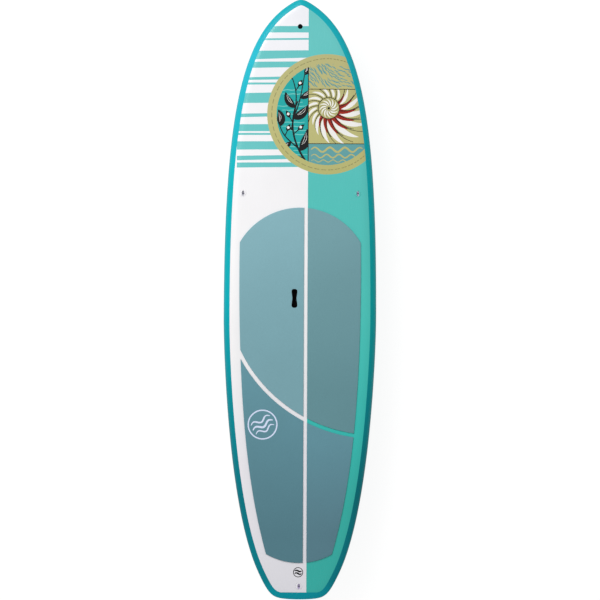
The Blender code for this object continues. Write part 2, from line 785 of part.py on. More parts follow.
def make_fin_box():
    """The slotted channel. Returns its hole and the solids of the dense foam block around it."""
    frame = surface_frame(0, FIN_BOX_Y, bottom_height)
    body = prism(stadium(BOX_LENGTH, BOX_WIDTH, 10), 0, BOX_DEPTH)
    channel = add_object("fin_box", *body, "black_plastic", frame)
    slot = prism(stadium(CHANNEL_LENGTH, CHANNEL_WIDTH), -BELOW_BOTTOM, CHANNEL_DEPTH)
    half_groove = GROOVE_WIDTH / 2
    half_channel = CHANNEL_LENGTH / 2 - CHANNEL_END
    groove = box((-half_groove, -half_channel, GROOVE_Z[0]), (half_groove, half_channel, GROOVE_Z[1]))
    entry_low = (-half_groove, -ENTRY_LENGTH / 2, -BELOW_BOTTOM)
    entry = box(entry_low, (half_groove, ENTRY_LENGTH / 2, GROOVE_Z[1]))
    for name, shape in (("fin_slot", slot), ("fin_groove", groove), ("fin_entry", entry)):
        cut(channel, add_object(name, *shape, None, frame))
    grown = stadium(BOX_LENGTH + 2 * GAP, BOX_WIDTH + 2 * GAP, 10)
    hole = add_object("fin_box_hole", *prism(grown, -BELOW_BOTTOM, BOX_DEPTH + GAP), None, frame)
    solids = []
    for name, grow in (("fin_block_solid", 0), ("fin_block_pocket", GAP)):
        half_x = BOX_WIDTH / 2 + BLOCK_MARGIN + grow
        half_y = BOX_LENGTH / 2 + BLOCK_MARGIN + grow
        top = BOX_DEPTH + BLOCK_MARGIN / 2 + grow
        block = box((-half_x, -half_y, -BELOW_BOTTOM), (half_x, half_y, top))
        solids.append(add_object(name, *block, None, frame))
    return frame, hole, solids


def fin_section(t):
    """(leading edge y, trailing edge y, half thickness) of the fin at a fraction t of its depth."""
    front, back = FIN_ROOT_CHORD / 2, -FIN_ROOT_CHORD / 2
    leading = front - FIN_SWEEP[0] * t - FIN_SWEEP[1] * t**3
    trailing = back + FIN_TRAILING[0] * math.sin(math.pi * t) - FIN_TRAILING[1] * t**2
    tip = math.sqrt(max(1 - t**8, 0))
    middle = trailing + FIN_THICKEST * (leading - trailing)
    leading = middle + (leading - middle) * tip
    trailing = middle - (middle - trailing) * tip
    half = FIN_TAB / 2 * (1 - FIN_THINNING * t) * tip
    return leading, trailing, half


def foil(leading, trailing, half, z):
    """A ring round one section: round at the leading edge and thin at the trailing one."""
    ring_points = []
    for i in range(FOIL_POINTS + 1):
        c = (1 - math.cos(math.pi * i / FOIL_POINTS)) / 2
        x = half * FOIL_SHAPE[0] * math.sqrt(c) * (1 - c) ** FOIL_SHAPE[1]
        ring_points.append((min(x, half), leading + (trailing - leading) * c, z))
    return ring_points + [(-x, y, z) for x, y, z in ring_points[-2:0:-1]]


def make_fin(frame):
    """The fin with its tab, the cross pin at its back and the screw and nut plate at its front."""
    depths = [FIN_TIP * math.sin(math.pi / 2 * i / (FIN_SECTIONS - 1)) for i in range(FIN_SECTIONS)]
    sections = [foil(*fin_section(t), FIN_ROOT_Z - FIN_DEPTH * t) for t in depths]
    count = len(sections[0])
    vertices = [point for section in sections for point in section]
    faces = [tuple(range(count)), tuple(range((FIN_SECTIONS - 1) * count, FIN_SECTIONS * count))]
    for s in range(FIN_SECTIONS - 1):
        for i in range(count):
            j = (i + 1) % count
            faces.append((s * count + i, s * count + j, (s + 1) * count + j, (s + 1) * count + i))
    fin = add_object("fin", vertices, faces, "black_plastic", frame)
    half = FIN_TAB / 2
    web_front = TAB_FRONT - LUG_LENGTH
    web = box((-half, TAB_BACK, FIN_ROOT_TOP), (half, web_front, TAB_TOP))
    tab = add_object("fin_tab", *web, None, frame)
    tongue = box((-half, web_front - LUG_ROOT, LUG_Z[0]), (half, TAB_FRONT, LUG_Z[1]))
    lug = add_object("fin_lug", *tongue, None, frame)
    under_lug = box((-FIN_TAB, web_front, FIN_ROOT_TOP), (FIN_TAB, FIN_ROOT_CHORD, LUG_Z[0]))
    relief = add_object("fin_relief", *under_lug, None, frame)
    cut(fin, relief)
    combine(fin, tab, "UNION")
    combine(fin, lug, "UNION")
    return fin


def make_fin_fixings(fin, frame):
    """The cross pin, the screw and the nut plate, each on its own axis."""
    place = Matrix.Translation((0, PIN_Y, sum(GROOVE_Z) / 2))
    pin_frame = frame @ place @ Matrix.Rotation(math.pi / 2, 4, "Y")
    add_object("fin_pin", *rod(PIN_RADIUS, PIN_LENGTH), "brass", pin_frame)
    pin_hole = rod(PIN_RADIUS + GAP, 2 * PIN_LENGTH)
    cut(fin, add_object("fin_pin_hole", *pin_hole, None, pin_frame))

    screw_frame = frame @ Matrix.Translation((0, SCREW_Y, 0))
    head_high = LUG_Z[0] - SCREW_PLAY
    head_low = head_high - SCREW_HEAD_HEIGHT
    narrow, bevel = SCREW_TIP_BEVEL
    screw_profile = (
        (0, SCREW_TIP_Z),
        (SCREW_RADIUS - narrow, SCREW_TIP_Z),
        (SCREW_RADIUS, SCREW_TIP_Z - bevel),
        (SCREW_RADIUS, head_high),
        (SCREW_HEAD_RADIUS, head_high),
        (SCREW_HEAD_RADIUS - narrow, head_low),
        (0, head_low),
    )
    screw = add_object("fin_screw", *turned(screw_profile, 20), "steel", screw_frame)
    length, width, depth = DRIVER_SLOT
    recess = prism(cross(length, width), head_low - depth, head_low + depth)
    cut(screw, add_object("driver_cross", *recess, None, screw_frame))
    clearance = rod(SCREW_RADIUS + GAP, 2 * BELOW_BOTTOM, 20)
    cut(fin, add_object("fin_screw_hole", *clearance, None, screw_frame))

    plate_low = GROOVE_Z[0] + GAP
    half_x, half_y = PLATE_SIDE[0] / 2, PLATE_SIDE[1] / 2
    plate_box = box((-half_x, -half_y, plate_low), (half_x, half_y, plate_low + PLATE_THICKNESS))
    plate = add_object("fin_plate", *plate_box, "steel", screw_frame)
    cut(plate, add_object("fin_plate_hole", *clearance, None, screw_frame))


# ---------------------------------------------------------------- assembly


def main():
    for obj in list(bpy.data.objects):
        bpy.data.objects.remove(obj)
    core, layer = make_hull()
    slot, well_pocket, (handle_solid, handle_pocket) = make_handle()
    vent_hole = make_vent()
    plug_holes = {name: make_plug(name, place) for name, place in PLUGS.items()}
    fin_frame, box_hole, (fin_solid, fin_pocket) = make_fin_box()
    make_fin_fixings(make_fin(fin_frame), fin_frame)

    middle = [handle_pocket, vent_hole, plug_holes["leash_plug"], fin_pocket]
    pockets = {
        "core_left": middle + [plug_holes["tie_down_left"]],
        "stringer": middle,
        "core_right": middle + [plug_holes["tie_down_right"]],
    }
    blocks = {
        "handle_block": (handle_solid, well_pocket),
        "fin_box_block": (fin_solid, box_hole),
    }
    make_core(core, blocks, pockets)
    make_pads(layer, slot)
    cut(bpy.data.objects["deck_shell"], slot, vent_hole, *plug_holes.values())
    cut(bpy.data.objects["bottom_shell"], box_hole)
    bpy.context.view_layer.update()


main()
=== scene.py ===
"""Looks of a stand up paddleboard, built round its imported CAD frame.

Frame: metres. +Z is up off the deck, +Y is the nose, +X is the right side of a paddler facing the nose.
"""

import math

import bmesh
import bpy
import numpy as np
from mathutils import Matrix, Vector, geometry


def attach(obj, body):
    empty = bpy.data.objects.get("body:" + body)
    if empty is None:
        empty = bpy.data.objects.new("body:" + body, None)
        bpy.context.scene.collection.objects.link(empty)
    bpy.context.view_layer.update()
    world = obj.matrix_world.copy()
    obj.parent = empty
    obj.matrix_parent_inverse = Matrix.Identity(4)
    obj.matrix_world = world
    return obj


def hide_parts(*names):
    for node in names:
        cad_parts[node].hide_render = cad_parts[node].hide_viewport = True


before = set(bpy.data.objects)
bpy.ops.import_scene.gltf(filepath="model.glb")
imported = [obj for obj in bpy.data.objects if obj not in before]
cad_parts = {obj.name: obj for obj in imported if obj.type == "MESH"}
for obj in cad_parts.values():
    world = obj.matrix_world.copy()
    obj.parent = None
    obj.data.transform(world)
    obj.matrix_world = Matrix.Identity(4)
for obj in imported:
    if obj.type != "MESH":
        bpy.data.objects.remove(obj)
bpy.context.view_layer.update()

MM = 0.001
WELD = 0.01 * MM

# Hull: the CAD model's outline, rocker and section. Only the tail's corners are drawn rounder.
HALF_LENGTH = 1.600
WIDEST = (0.408, -0.105)
NOSE_SHOULDER = (0.0843, 1.5575)
TAIL_SIDE = (0.2159, -1.4576)
TAIL_TURN = (0.085, -1.5955)
OUTLINE = (
    ((0, HALF_LENGTH), (0.022, HALF_LENGTH), (0.057, 1.577), NOSE_SHOULDER),
    (NOSE_SHOULDER, (0.346, 1.369), (WIDEST[0], 0.868), WIDEST),
    (WIDEST, (WIDEST[0], -0.192), (0.3906, -1.0859), TAIL_SIDE),
    (TAIL_SIDE, (0.1648, -1.5662), (0.1446, -1.5884), TAIL_TURN),
    (TAIL_TURN, (0.050, -1.5997), (0.020, -HALF_LENGTH), (0, -HALF_LENGTH)),
)
CURVE_STEPS = 70
FLAT_HALF = 0.45
NOSE_ROCKER = 0.140
NOSE_ROCKER_POWER = 2.2
TAIL_ROCKER = 0.065
TAIL_BEND_LENGTH = 0.60
THICKNESS = 0.115
NOSE_THICKNESS = 0.050
TAIL_THICKNESS = 0.045
TAPER_POWER = 3.0
CROWN = 0.012
APEX = 0.45
ROLL_POWER = 2.2
DECK_ROLL = (0.055, 0.080)
BOTTOM_ROLL = (0.030, 0.058)
SEAM = 0.032
BOTTOM_PATCH = 0.046
LAMINATE = 2.5 * MM

# Mesh of the hull.
SIDE_STATIONS = 150
TAIL_COLUMNS = 40
END_CLUSTERING = 0.85
CORNER_NORMAL = (0.34, -0.94)  # the tail's corner is the point furthest this way
ROLL_ANGLES = (4, 8, 13, 19, 26, 34, 42, 50)
ROLL_BAND = 0.070
RIM_INSETS = (0.035, 0.040, 0.047, 0.055, 0.065, 0.076)
GRID = 0.015
FOLD_TOLERANCE = 0.05 * MM
POINTS_AT_ONCE = 1500
CUT_INSIDE = 1
CUT_EPSILON = 1e-6
CREASE = 50
FIN_CREASE = 75

# Deck pads. PAD_EDGE gives (inset, height above the deck) from the foot of the wall to the top.
PAD_THICKNESS = 5.3 * MM
PAD_HALF_WIDTH = 0.324
PAD_WIDEST_Y = 0.12
PAD_TAPER = (0.0403, 0.0127)
PAD_TOP_ARC = (0.0, 0.119, 0.373)
PAD_TAIL_ARC = (0.0, -1.047, 0.356)
PAD_GROOVE_ARC = (0.403, 0.082, 0.801)
PAD_GROOVE = 0.021
LEFT_PAD_EDGE = 0.0205
RIGHT_PAD_EDGE = 0.0400
PAD_EDGE = (
    (0.0, 0.3 * MM),
    (0.0, 3.9 * MM),
    (0.3 * MM, 4.7 * MM),
    (0.9 * MM, 5.15 * MM),
    (1.8 * MM, PAD_THICKNESS),
)
CORNER_ROUNDS = 60
CORNER_SHARE = 0.4
SHARPEST_CORNER = 0.3

# Fittings let into the deck: (x, y, radius of the hole).
HANDLE = (-0.0295, 0.008)
SLOT_LENGTH = 0.100
SLOT_END_WIDTH = 0.030
SLOT_WAIST = 0.022
GAP = 0.3 * MM
PLUG_HOLE = 17.3 * MM
VENT_HOLE = 13.05 * MM
HOLES = (
    (-0.3065, 0.568, PLUG_HOLE),
    (0.3065, 0.568, PLUG_HOLE),
    (0.0, -1.529, PLUG_HOLE),
    (-0.005, 1.4555, VENT_HOLE),
)
FIN_BOX_Y = -1.270
FIN_BOX = (0.2706, 0.0260)

# Fin, in its box's frame: a blade under a tab whose front lug takes the screw.
FIN_TAB = 9.5 * MM
TAB_SIDE = (-0.084, -4.0 * MM, 0.054, 18.5 * MM)
LUG_BACK = 0.049
LUG_FRONT = 0.080
LUG_Z = (3.6 * MM, 8.0 * MM)
PIN_HOLE = (-0.077, 11.7 * MM, 2.65 * MM)
SCREW_HOLE = (0.0, 0.067, 2.4 * MM)
FIN_CHORD = 0.168
FIN_DEPTH = 0.228
FIN_ROOT_Z = -1.5 * MM
FIN_SWEEP = (0.070, 0.135)
FIN_TRAILING = (0.030, 0.050)
FIN_THICKEST = 0.32
FIN_THINNING = 0.62
FIN_TIP = 0.985
FIN_RINGS = 30
FOIL_POINTS = 16
FOIL_SHAPE = (2.6, 0.9)
HOLE_STEPS = 24


# ---- shape of the hull


def cubic_at(points, t):
    """The point of a cubic curve at a fraction t, or its points at a column of fractions."""
    a, b, c, d = np.array(points, float)
    return (1 - t) ** 3 * a + 3 * (1 - t) ** 2 * t * b + 3 * (1 - t) * t**2 * c + t**3 * d


def cubic(points, steps):
    return cubic_at(points, np.linspace(0, 1, steps)[:, None])


# The right half runs from the nose tip to the middle of the tail.
CURVES = [cubic(points, CURVE_STEPS) for points in OUTLINE]
RIGHT_HALF = np.vstack([CURVES[0]] + [curve[1:] for curve in CURVES[1:]])
WHOLE = np.vstack([RIGHT_HALF, RIGHT_HALF[-2::-1] * (-1, 1)])


def edge_distance(points):
    """How far each point (x, y) lies from the outline."""
    start = WHOLE[:-1]
    run = WHOLE[1:] - start
    found = []
    for some in np.array_split(points, len(points) // POINTS_AT_ONCE + 1):
        to = some[:, None, :] - start
        t = np.clip((to * run).sum(2) / (run**2).sum(1), 0, 1)
        found.append(np.linalg.norm(to - t[..., None] * run, axis=2).min(1))
    return np.concatenate(found)


def half_width(y):
    return np.interp(-np.asarray(y), -RIGHT_HALF[:, 1], RIGHT_HALF[:, 0])


def inset_curve(inset):
    """The right half of the outline moved in by a distance, without the parts that fold over."""
    if inset == 0:
        return RIGHT_HALF
    run = np.gradient(RIGHT_HALF, axis=0)
    normal = np.column_stack([run[:, 1], -run[:, 0]])
    moved = RIGHT_HALF + inset * normal / np.linalg.norm(normal, axis=1)[:, None]
    moved = moved[(moved[:, 0] >= 0) & (edge_distance(moved) > inset - FOLD_TOLERANCE)]
    nose = moved[0] - (moved[1] - moved[0]) * moved[0, 0] / (moved[1, 0] - moved[0, 0] or 1)
    return np.vstack([[0, nose[1]], moved, [0, moved[-1, 1]]])


def along(curve, fractions):
    """Points at these fractions of a curve's length."""
    length = np.concatenate([[0], np.cumsum(np.linalg.norm(np.diff(curve, axis=0), axis=1))])
    at = np.asarray(fractions) * length[-1]
    return np.column_stack([np.interp(at, length, curve[:, 0]), np.interp(at, length, curve[:, 1])])


def rocker(y):
    """Height of the bottom's middle line."""
    nose = np.clip((y - FLAT_HALF) / (HALF_LENGTH - FLAT_HALF), 0, 1)
    run = np.clip(-y - FLAT_HALF, 0, None)
    bent = np.minimum(run, TAIL_BEND_LENGTH)
    straight = HALF_LENGTH - FLAT_HALF - TAIL_BEND_LENGTH
    rate = TAIL_ROCKER / (TAIL_BEND_LENGTH**2 + 2 * TAIL_BEND_LENGTH * straight)
    tail = rate * (bent**2 + 2 * TAIL_BEND_LENGTH * (run - bent))
    return NOSE_ROCKER * nose**NOSE_ROCKER_POWER + tail


def thickness(y):
    end = np.where(y > 0, NOSE_THICKNESS, TAIL_THICKNESS)
    return end + (THICKNESS - end) * (1 - np.abs(y / HALF_LENGTH) ** TAPER_POWER)


def apex(y):
    """Height of the rail's outermost line."""
    return rocker(y) + APEX * thickness(y)


def roll(distance, band, y):
    """0 at the outline, rising to 1 once the band is crossed. The band is narrower at the ends."""
    width = band[1] - (band[1] - band[0]) * np.abs(y / HALF_LENGTH) ** 2
    left = np.clip(1 - distance / width, 0, 1)
    return (1 - left**ROLL_POWER) ** (1 / ROLL_POWER)


def deck_height(points):
    x, y = points.T
    across = x / np.maximum(half_width(y), 1 * MM)
    top = rocker(y) + thickness(y) - CROWN * across**2
    return apex(y) + (top - apex(y)) * roll(edge_distance(points), DECK_ROLL, y)


def bottom_height(points):
    y = points[:, 1]
    return apex(y) - (apex(y) - rocker(y)) * roll(edge_distance(points), BOTTOM_ROLL, y)


def surface_normals(points, height):
    """Unit normals, leaning up, of the surface z = height(x, y)."""
    step = 0.5 * MM
    z = height(points)
    slope_x = (height(points + (step, 0)) - z) / step
    slope_y = (height(points + (0, step)) - z) / step
    normals = np.column_stack([-slope_x, -slope_y, np.ones(len(points))])
    return normals / np.linalg.norm(normals, axis=1)[:, None]


def surface_frame(x, y, height):
    """A frame on the surface at (x, y): local Z is square to the surface and leans up."""
    step = 2 * MM
    z, z_right, z_ahead = height(np.array([(x, y), (x + step, y), (x, y + step)]))
    right = Vector((step, 0, z_right - z)).normalized()
    up = right.cross(Vector((0, step, z_ahead - z))).normalized()
    made = Matrix((right, up.cross(right), up)).transposed().to_4x4()
    made.translation = (x, y, z)
    return made


def closed_ring(inset):
    """One closed ring of points: nose tip, right side, tail from right to left, left side."""
    curve = inset_curve(inset)
    corner = int(np.argmax(curve @ CORNER_NORMAL))
    even = np.linspace(0, 1, SIDE_STATIONS + 1)
    fractions = (1 - END_CLUSTERING) * even + END_CLUSTERING * (1 - np.cos(math.pi * even)) / 2
    side = along(curve[: corner + 1], fractions)
    side[0, 0] = 0
    tail = curve[corner:][::-1]
    x = side[-1, 0] * np.linspace(1, -1, TAIL_COLUMNS + 1)[1:-1]
    row = np.column_stack([x, np.interp(np.abs(x), tail[:, 0], tail[:, 1])])
    return np.vstack([side, row, side[:0:-1] * (-1, 1)])


# ---- flat outlines


def circle(x, y, radius, steps=48):
    angles = 2 * math.pi * np.arange(steps) / steps
    return np.column_stack([x + radius * np.cos(angles), y + radius * np.sin(angles)])


def rectangle(left, low, right, high):
    return np.array([(left, low), (right, low), (right, high), (left, high)])


def stadium(x, y, length, width, steps=12):
    """A slot outline with round ends, long along Y."""
    radius = width / 2
    straight = length / 2 - radius
    angles = math.pi * np.arange(steps + 1) / steps
    ahead = np.column_stack([radius * np.cos(angles), straight + radius * np.sin(angles)])
    return np.vstack([ahead, -ahead]) + (x, y)


def dog_bone(grow, steps=20):
    """The handle slot's outline, grown by a distance."""
    end = SLOT_END_WIDTH / 2 + grow
    waist = SLOT_WAIST / 2 + grow
    tip = SLOT_LENGTH / 2 + grow
    shoulder = tip - 0.9 * end
    y = shoulder * np.arange(steps) / steps
    neck = np.column_stack([waist + (end - waist) * np.sin(math.pi / 2 * y / shoulder) ** 2, y])
    a = math.pi / 2 * np.arange(steps + 1) / steps
    cap = np.column_stack([end * np.cos(a) ** 0.85, shoulder + (tip - shoulder) * np.sin(a) ** 0.85])
    quarter = np.vstack([neck, cap])
    ahead = np.vstack([quarter, quarter[-2::-1] * (-1, 1)])
    return np.vstack([ahead, ahead[-2:0:-1] * (1, -1)]) + HANDLE


def band(line, half_widths):
    """The outline of a stroke along a line of points, with its half width at each."""
    run = np.gradient(line, axis=0)
    side = np.column_stack([-run[:, 1], run[:, 0]]) / np.linalg.norm(run, axis=1)[:, None]
    reach = side * np.asarray(half_widths)[:, None]
    return np.vstack([line + reach, (line - reach)[::-1]])


def stroke(points, start_width, end_width, steps):
    """A tapered stroke along a cubic curve."""
    return band(cubic(points, steps), np.linspace(start_width, end_width, steps) / 2)


def blade(base, tip, width, bend, steps=18):
    """A leaf shape from base to tip that bows to its left by bend times its length."""
    base, tip = np.array(base, float), np.array(tip, float)
    run = tip - base
    left = np.array([-run[1], run[0]])
    t = np.linspace(0.02, 0.98, steps)
    line = base + t[:, None] * run + (bend * 4 * t * (1 - t))[:, None] * left
    half = width / 2 * np.sin(math.pi * t**0.8) ** 0.9
    return band(line, np.maximum(half, 0.3 * MM))


def arc_band(x, y, radius, width, start, end, steps):
    """A stroke along an arc, between two angles in degrees."""
    a = np.radians(np.linspace(start, end, steps))
    line = np.column_stack([x + radius * np.cos(a), y + radius * np.sin(a)])
    return band(line, np.full(steps, width / 2))


def wave(left, right, y, height, length, width, steps=60):
    """A stroke along a sine wave, tapered at both ends."""
    x = np.linspace(left, right, steps)
    line = np.column_stack([x, y + height * np.sin(2 * math.pi * (x - left) / length)])
    ends = np.sin(math.pi * np.linspace(0.03, 0.97, steps)) ** 0.35
    return band(line, width / 2 * ends)


def anticlockwise(outline):
    x, y = np.asarray(outline).T
    area = (x * np.roll(y, -1) - np.roll(x, -1) * y).sum()
    return outline if area > 0 else outline[::-1]


def fine(outline, spacing):
    """An outline with points added so that no side is longer than the spacing."""
    outline = np.asarray(outline, float)
    made = []
    for start, end in zip(outline, np.roll(outline, -1, axis=0)):
        count = int(np.linalg.norm(end - start) / spacing) + 1
        made.append(start + np.arange(count)[:, None] / count * (end - start))
    return np.vstack(made)


def planar_map(outlines, spots):
    """Cuts the plane along outlines: points, triangles, and which outlines are round each triangle."""
    points, faces = [], []
    for outline in outlines:
        outline = fine(anticlockwise(outline), GRID)
        faces.append(list(range(len(points), len(points) + len(outline))))
        points.extend(outline)
    points.extend(spots)
    points = [Vector(p) for p in points]
    cut = geometry.delaunay_2d_cdt(points, [], faces, CUT_INSIDE, CUT_EPSILON, True)
    return np.array([tuple(p) for p in cut[0]]), cut[2], [set(owners) for owners in cut[5]]


def grid_spots(outline, spacing):
    """Points on a grid over an outline's box."""
    low, high = np.min(outline, axis=0), np.max(outline, axis=0)
    x, y = np.meshgrid(np.arange(low[0], high[0], spacing), np.arange(low[1], high[1], spacing))
    return np.column_stack([x.ravel(), y.ravel()])


# ---- Blender objects


def add_object(name, data):
    obj = bpy.data.objects.new(name, data)
    bpy.context.scene.collection.objects.link(obj)
    return obj


def add_mesh(name, vertices, faces, materials, indices=None):
    mesh = bpy.data.meshes.new(name)
    mesh.from_pydata(np.array(vertices, float).tolist(), [], [tuple(map(int, f)) for f in faces])
    for material in materials:
        mesh.materials.append(material)
    if indices is not None:
        mesh.polygons.foreach_set("material_index", np.array(indices, np.int32))
    mesh.shade_smooth()
    return add_object(name, mesh)


def crease(mesh, angle):
    mesh.set_sharp_from_angle(angle=math.radians(angle))


def weld(obj):
    """Joins the vertices that meet and turns the faces outward."""
    work = bmesh.new()
    work.from_mesh(obj.data)
    bmesh.ops.remove_doubles(work, verts=work.verts, dist=WELD)
    bmesh.ops.recalc_face_normals(work, faces=work.faces)
    work.to_mesh(obj.data)
    work.free()


def place(piece, body, slot, node):
    """Puts a finished piece on its body and hides the CAD node that it stands for."""
    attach(piece, body)
    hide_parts(node)


def used_only(vertices, faces):
    """The vertices that faces use, and the faces numbered to match."""
    kept = sorted({i for face in faces for i in face})
    number = {old: new for new, old in enumerate(kept)}
    return vertices[kept], [[number[i] for i in face] for face in faces]


def rim_faces(faces, count):
    """Walls between a layer of faces and its copy, whose vertices come count later."""
    edges = {(a, b) for face in faces for a, b in zip(face, list(face[1:]) + [face[0]])}
    return [(b, a, a + count, b + count) for a, b in edges if (b, a) not in edges]


def ring_faces(rows, count, first=0):
    """Walls between rings of count vertices, each ring numbered after the one before."""
    starts = [(first + row * count, i) for row in range(rows - 1) for i in range(count)]
    return [(a + i, a + (i + 1) % count, a + count + (i + 1) % count, a + count + i) for a, i in starts]


def doubled(faces, count):
    """A layer of faces, its copy turned over, with vertices count later, and the walls between them."""
    return faces + [[i + count for i in reversed(f)] for f in faces] + rim_faces(faces, count)


# ---- materials


def linear(code):
    """An sRGB colour code as linear numbers with alpha."""
    srgb = [int(code[i : i + 2], 16) / 255 for i in (0, 2, 4)]
    return (*(c / 12.92 if c <= 0.04045 else ((c + 0.055) / 1.055) ** 2.4 for c in srgb), 1)


def fill_ramp(ramp, stops):
    """Sets a colour ramp node to these (place, colour) stops."""
    points = ramp.color_ramp.elements
    while len(points) < len(stops):
        points.new(0.5)
    for point, (place, colour) in zip(points, stops):
        point.position, point.color = place, colour


NOISE_ROUGHNESS = 0.55


class Shader:
    """A material under construction: short calls that add nodes and link them. Scales are per metre."""

    def __init__(self, name, **sockets):
        self.material = bpy.data.materials.new(name)
        self.material.use_nodes = True
        self.tree = self.material.node_tree
        self.principled = self.tree.nodes["Principled BSDF"]
        for key, value in sockets.items():
            socket = key.replace("_", " ").title().replace("Ior", "IOR")
            self.principled.inputs[socket].default_value = value
        place_nodes = self.node("ShaderNodeTexCoord").outputs
        self.position, self.facing = place_nodes["Object"], place_nodes["Normal"]

    def node(self, kind, inputs=(), **settings):
        made = self.tree.nodes.new(kind)
        for key, value in settings.items():
            setattr(made, key, value)
        self.feed(made.inputs, inputs)
        return made

    def feed(self, sockets, inputs):
        """Sets sockets to plain values, or links them to other nodes' outputs."""
        for key, value in dict(inputs).items():
            if isinstance(value, bpy.types.NodeSocket):
                self.tree.links.new(value, sockets[key])
            else:
                sockets[key].default_value = value

    def noise(self, scale, detail=3.0, stretch=None):
        vector = self.position
        if stretch:
            vector = self.node("ShaderNodeMapping", {"Vector": vector, "Scale": stretch}).outputs[0]
        inputs = {"Vector": vector, "Scale": scale, "Detail": detail, "Roughness": NOISE_ROUGHNESS}
        return self.node("ShaderNodeTexNoise", inputs).outputs["Fac"]

    def cells(self, scale, feature="F1"):
        inputs = {"Vector": self.position, "Scale": scale}
        return self.node("ShaderNodeTexVoronoi", inputs, feature=feature).outputs["Distance"]

    def spread(self, value, low, high, to_low=0.0, to_high=1.0):
        """A value mapped from one range to another, and held inside it."""
        inputs = {"Value": value, "From Min": low, "From Max": high, "To Min": to_low, "To Max": to_high}
        return self.node("ShaderNodeMapRange", inputs).outputs["Result"]

    def maths(self, operation, a, b):
        return self.node("ShaderNodeMath", {0: a, 1: b}, operation=operation).outputs[0]

    def vectors(self, operation, a, b, output="Vector"):
        return self.node("ShaderNodeVectorMath", {0: a, 1: b}, operation=operation).outputs[output]

    def part(self, vector, axis):
        return self.node("ShaderNodeSeparateXYZ", {"Vector": vector}).outputs[axis]

    def mix(self, share, a, b, blend="MIX"):
        made = self.node("ShaderNodeMix", data_type="RGBA", blend_type=blend)
        self.feed(made.inputs, {0: share, 6: a, 7: b})
        return made.outputs[2]

    def fade(self, stops):
        """A colour that changes along the board. Stops are (y in metres, colour code)."""
        low, high = stops[0][0], stops[-1][0]
        place = self.vectors("DOT_PRODUCT", self.position, (0, 1, 0), "Value")
        ramp = self.node("ShaderNodeValToRGB", {"Fac": self.spread(place, low, high)})
        fill_ramp(ramp, [((at - low) / (high - low), linear(code)) for at, code in stops])
        return ramp.outputs["Color"]

    def mottled(self, colour, noise, amount):
        """A colour made lighter and darker by a noise, by this share each way."""
        return self.scaled(colour, self.spread(noise, 0.3, 0.7, 1 - amount, 1 + amount))

    def scaled(self, colour, shade):
        grey = self.node("ShaderNodeCombineColor", {0: shade, 1: shade, 2: shade}).outputs[0]
        return self.mix(1.0, colour, grey, "MULTIPLY")

    def finish(self, colour, roughness, bump=None, depth=0.05 * MM):
        inputs = {"Base Color": colour, "Roughness": roughness}
        if bump is not None:
            made = self.node("ShaderNodeBump", {"Height": bump, "Distance": depth, "Strength": 1.0})
            inputs["Normal"] = made.outputs["Normal"]
        self.feed(self.principled.inputs, inputs)
        return self.material


def gloss_paint(name, stops, right_stops=None, grain=0.015, coat=0.25, specular=0.15):
    """Sprayed or printed colour under a clear coat: faint mottling, fine scratches and orange peel. Given
    right_stops, it fades to them across the board and darkens where the surface turns down: painted light
    and shade.
    """
    shader = Shader(name, specular_ior_level=specular, coat_weight=coat, coat_roughness=0.12)
    colour = shader.fade(stops)
    if right_stops:
        across = shader.part(shader.position, "X")
        colour = shader.mix(shader.spread(across, -0.25, 0.35), colour, shader.fade(right_stops))
        # Painted shade: the colour darkens to EDGE_SHADE where the surface turns down from facing up.
        lean = shader.part(shader.facing, "Z")
        colour = shader.scaled(colour, shader.spread(lean, 0.1, 0.6, EDGE_SHADE, 1.0))
    colour = shader.mottled(colour, shader.noise(3.5, 2.0), grain)
    colour = shader.mottled(colour, shader.noise(700.0, 2.0), grain)
    scuffs = shader.noise(30.0, 6.0, stretch=(6.0, 0.5, 6.0))
    roughness = shader.spread(scuffs, 0.35, 0.75, 0.16, 0.34)
    return shader.finish(colour, roughness, shader.noise(90.0, 2.0), 0.02 * MM)


def foam_pad(name, stops):
    """Closed-cell deck foam with a fine brushed grain."""
    shader = Shader(name, specular_ior_level=0.18, sheen_weight=0.06, sheen_roughness=0.5)
    colour = shader.mottled(shader.fade(stops), shader.noise(2.5, 3.0), 0.025)
    colour = shader.mottled(colour, shader.noise(380.0, 3.0, stretch=(1.0, 1.6, 1.0)), 0.10)
    pores = shader.cells(620.0)
    grain = shader.maths("ADD", pores, shader.noise(240.0, 3.0))
    return shader.finish(colour, shader.spread(pores, 0.0, 0.7, 0.95, 0.78), grain, 0.25 * MM)


def moulded_plastic(name, code, roughness=0.42, specular=0.3, depth=0.04 * MM):
    """Moulded plastic with a fine texture and a few shiny rubbed spots."""
    shader = Shader(name, specular_ior_level=specular)
    grain = shader.noise(1400.0, 2.0)
    colour = shader.mottled(linear(code), shader.noise(60.0, 4.0), 0.06)
    rubbed = shader.spread(shader.noise(35.0, 5.0), 0.4, 0.7, roughness, roughness - 0.12)
    return shader.finish(colour, rubbed, grain, depth)


def cup_plastic(name, face, inside, opening):
    """Plastic for a cup let into the deck at (x, y): its face in one colour and its inside in another."""
    shader = Shader(name, specular_ior_level=0.2)
    seat = surface_frame(*opening, deck_height)
    middle, up = seat.translation, seat.col[2].to_3d()
    away = shader.vectors("SUBTRACT", shader.position, middle)
    lift = shader.vectors("DOT_PRODUCT", away, up, "Value")
    colour = shader.mix(shader.spread(lift, -2.4 * MM, -0.9 * MM), linear(inside), linear(face))
    grain = shader.noise(1400.0, 2.0)
    return shader.finish(shader.mottled(colour, shader.noise(60.0, 4.0), 0.03), 0.42, grain, 0.03 * MM)


def brushed_metal(name, code, roughness=0.28):
    shader = Shader(name, metallic=1.0)
    lines = shader.noise(500.0, 3.0, stretch=(8.0, 0.3, 8.0))
    colour = shader.mottled(linear(code), lines, 0.08)
    worn = shader.spread(lines, 0.3, 0.7, roughness, roughness + 0.16)
    return shader.finish(colour, worn, lines, 0.02 * MM)


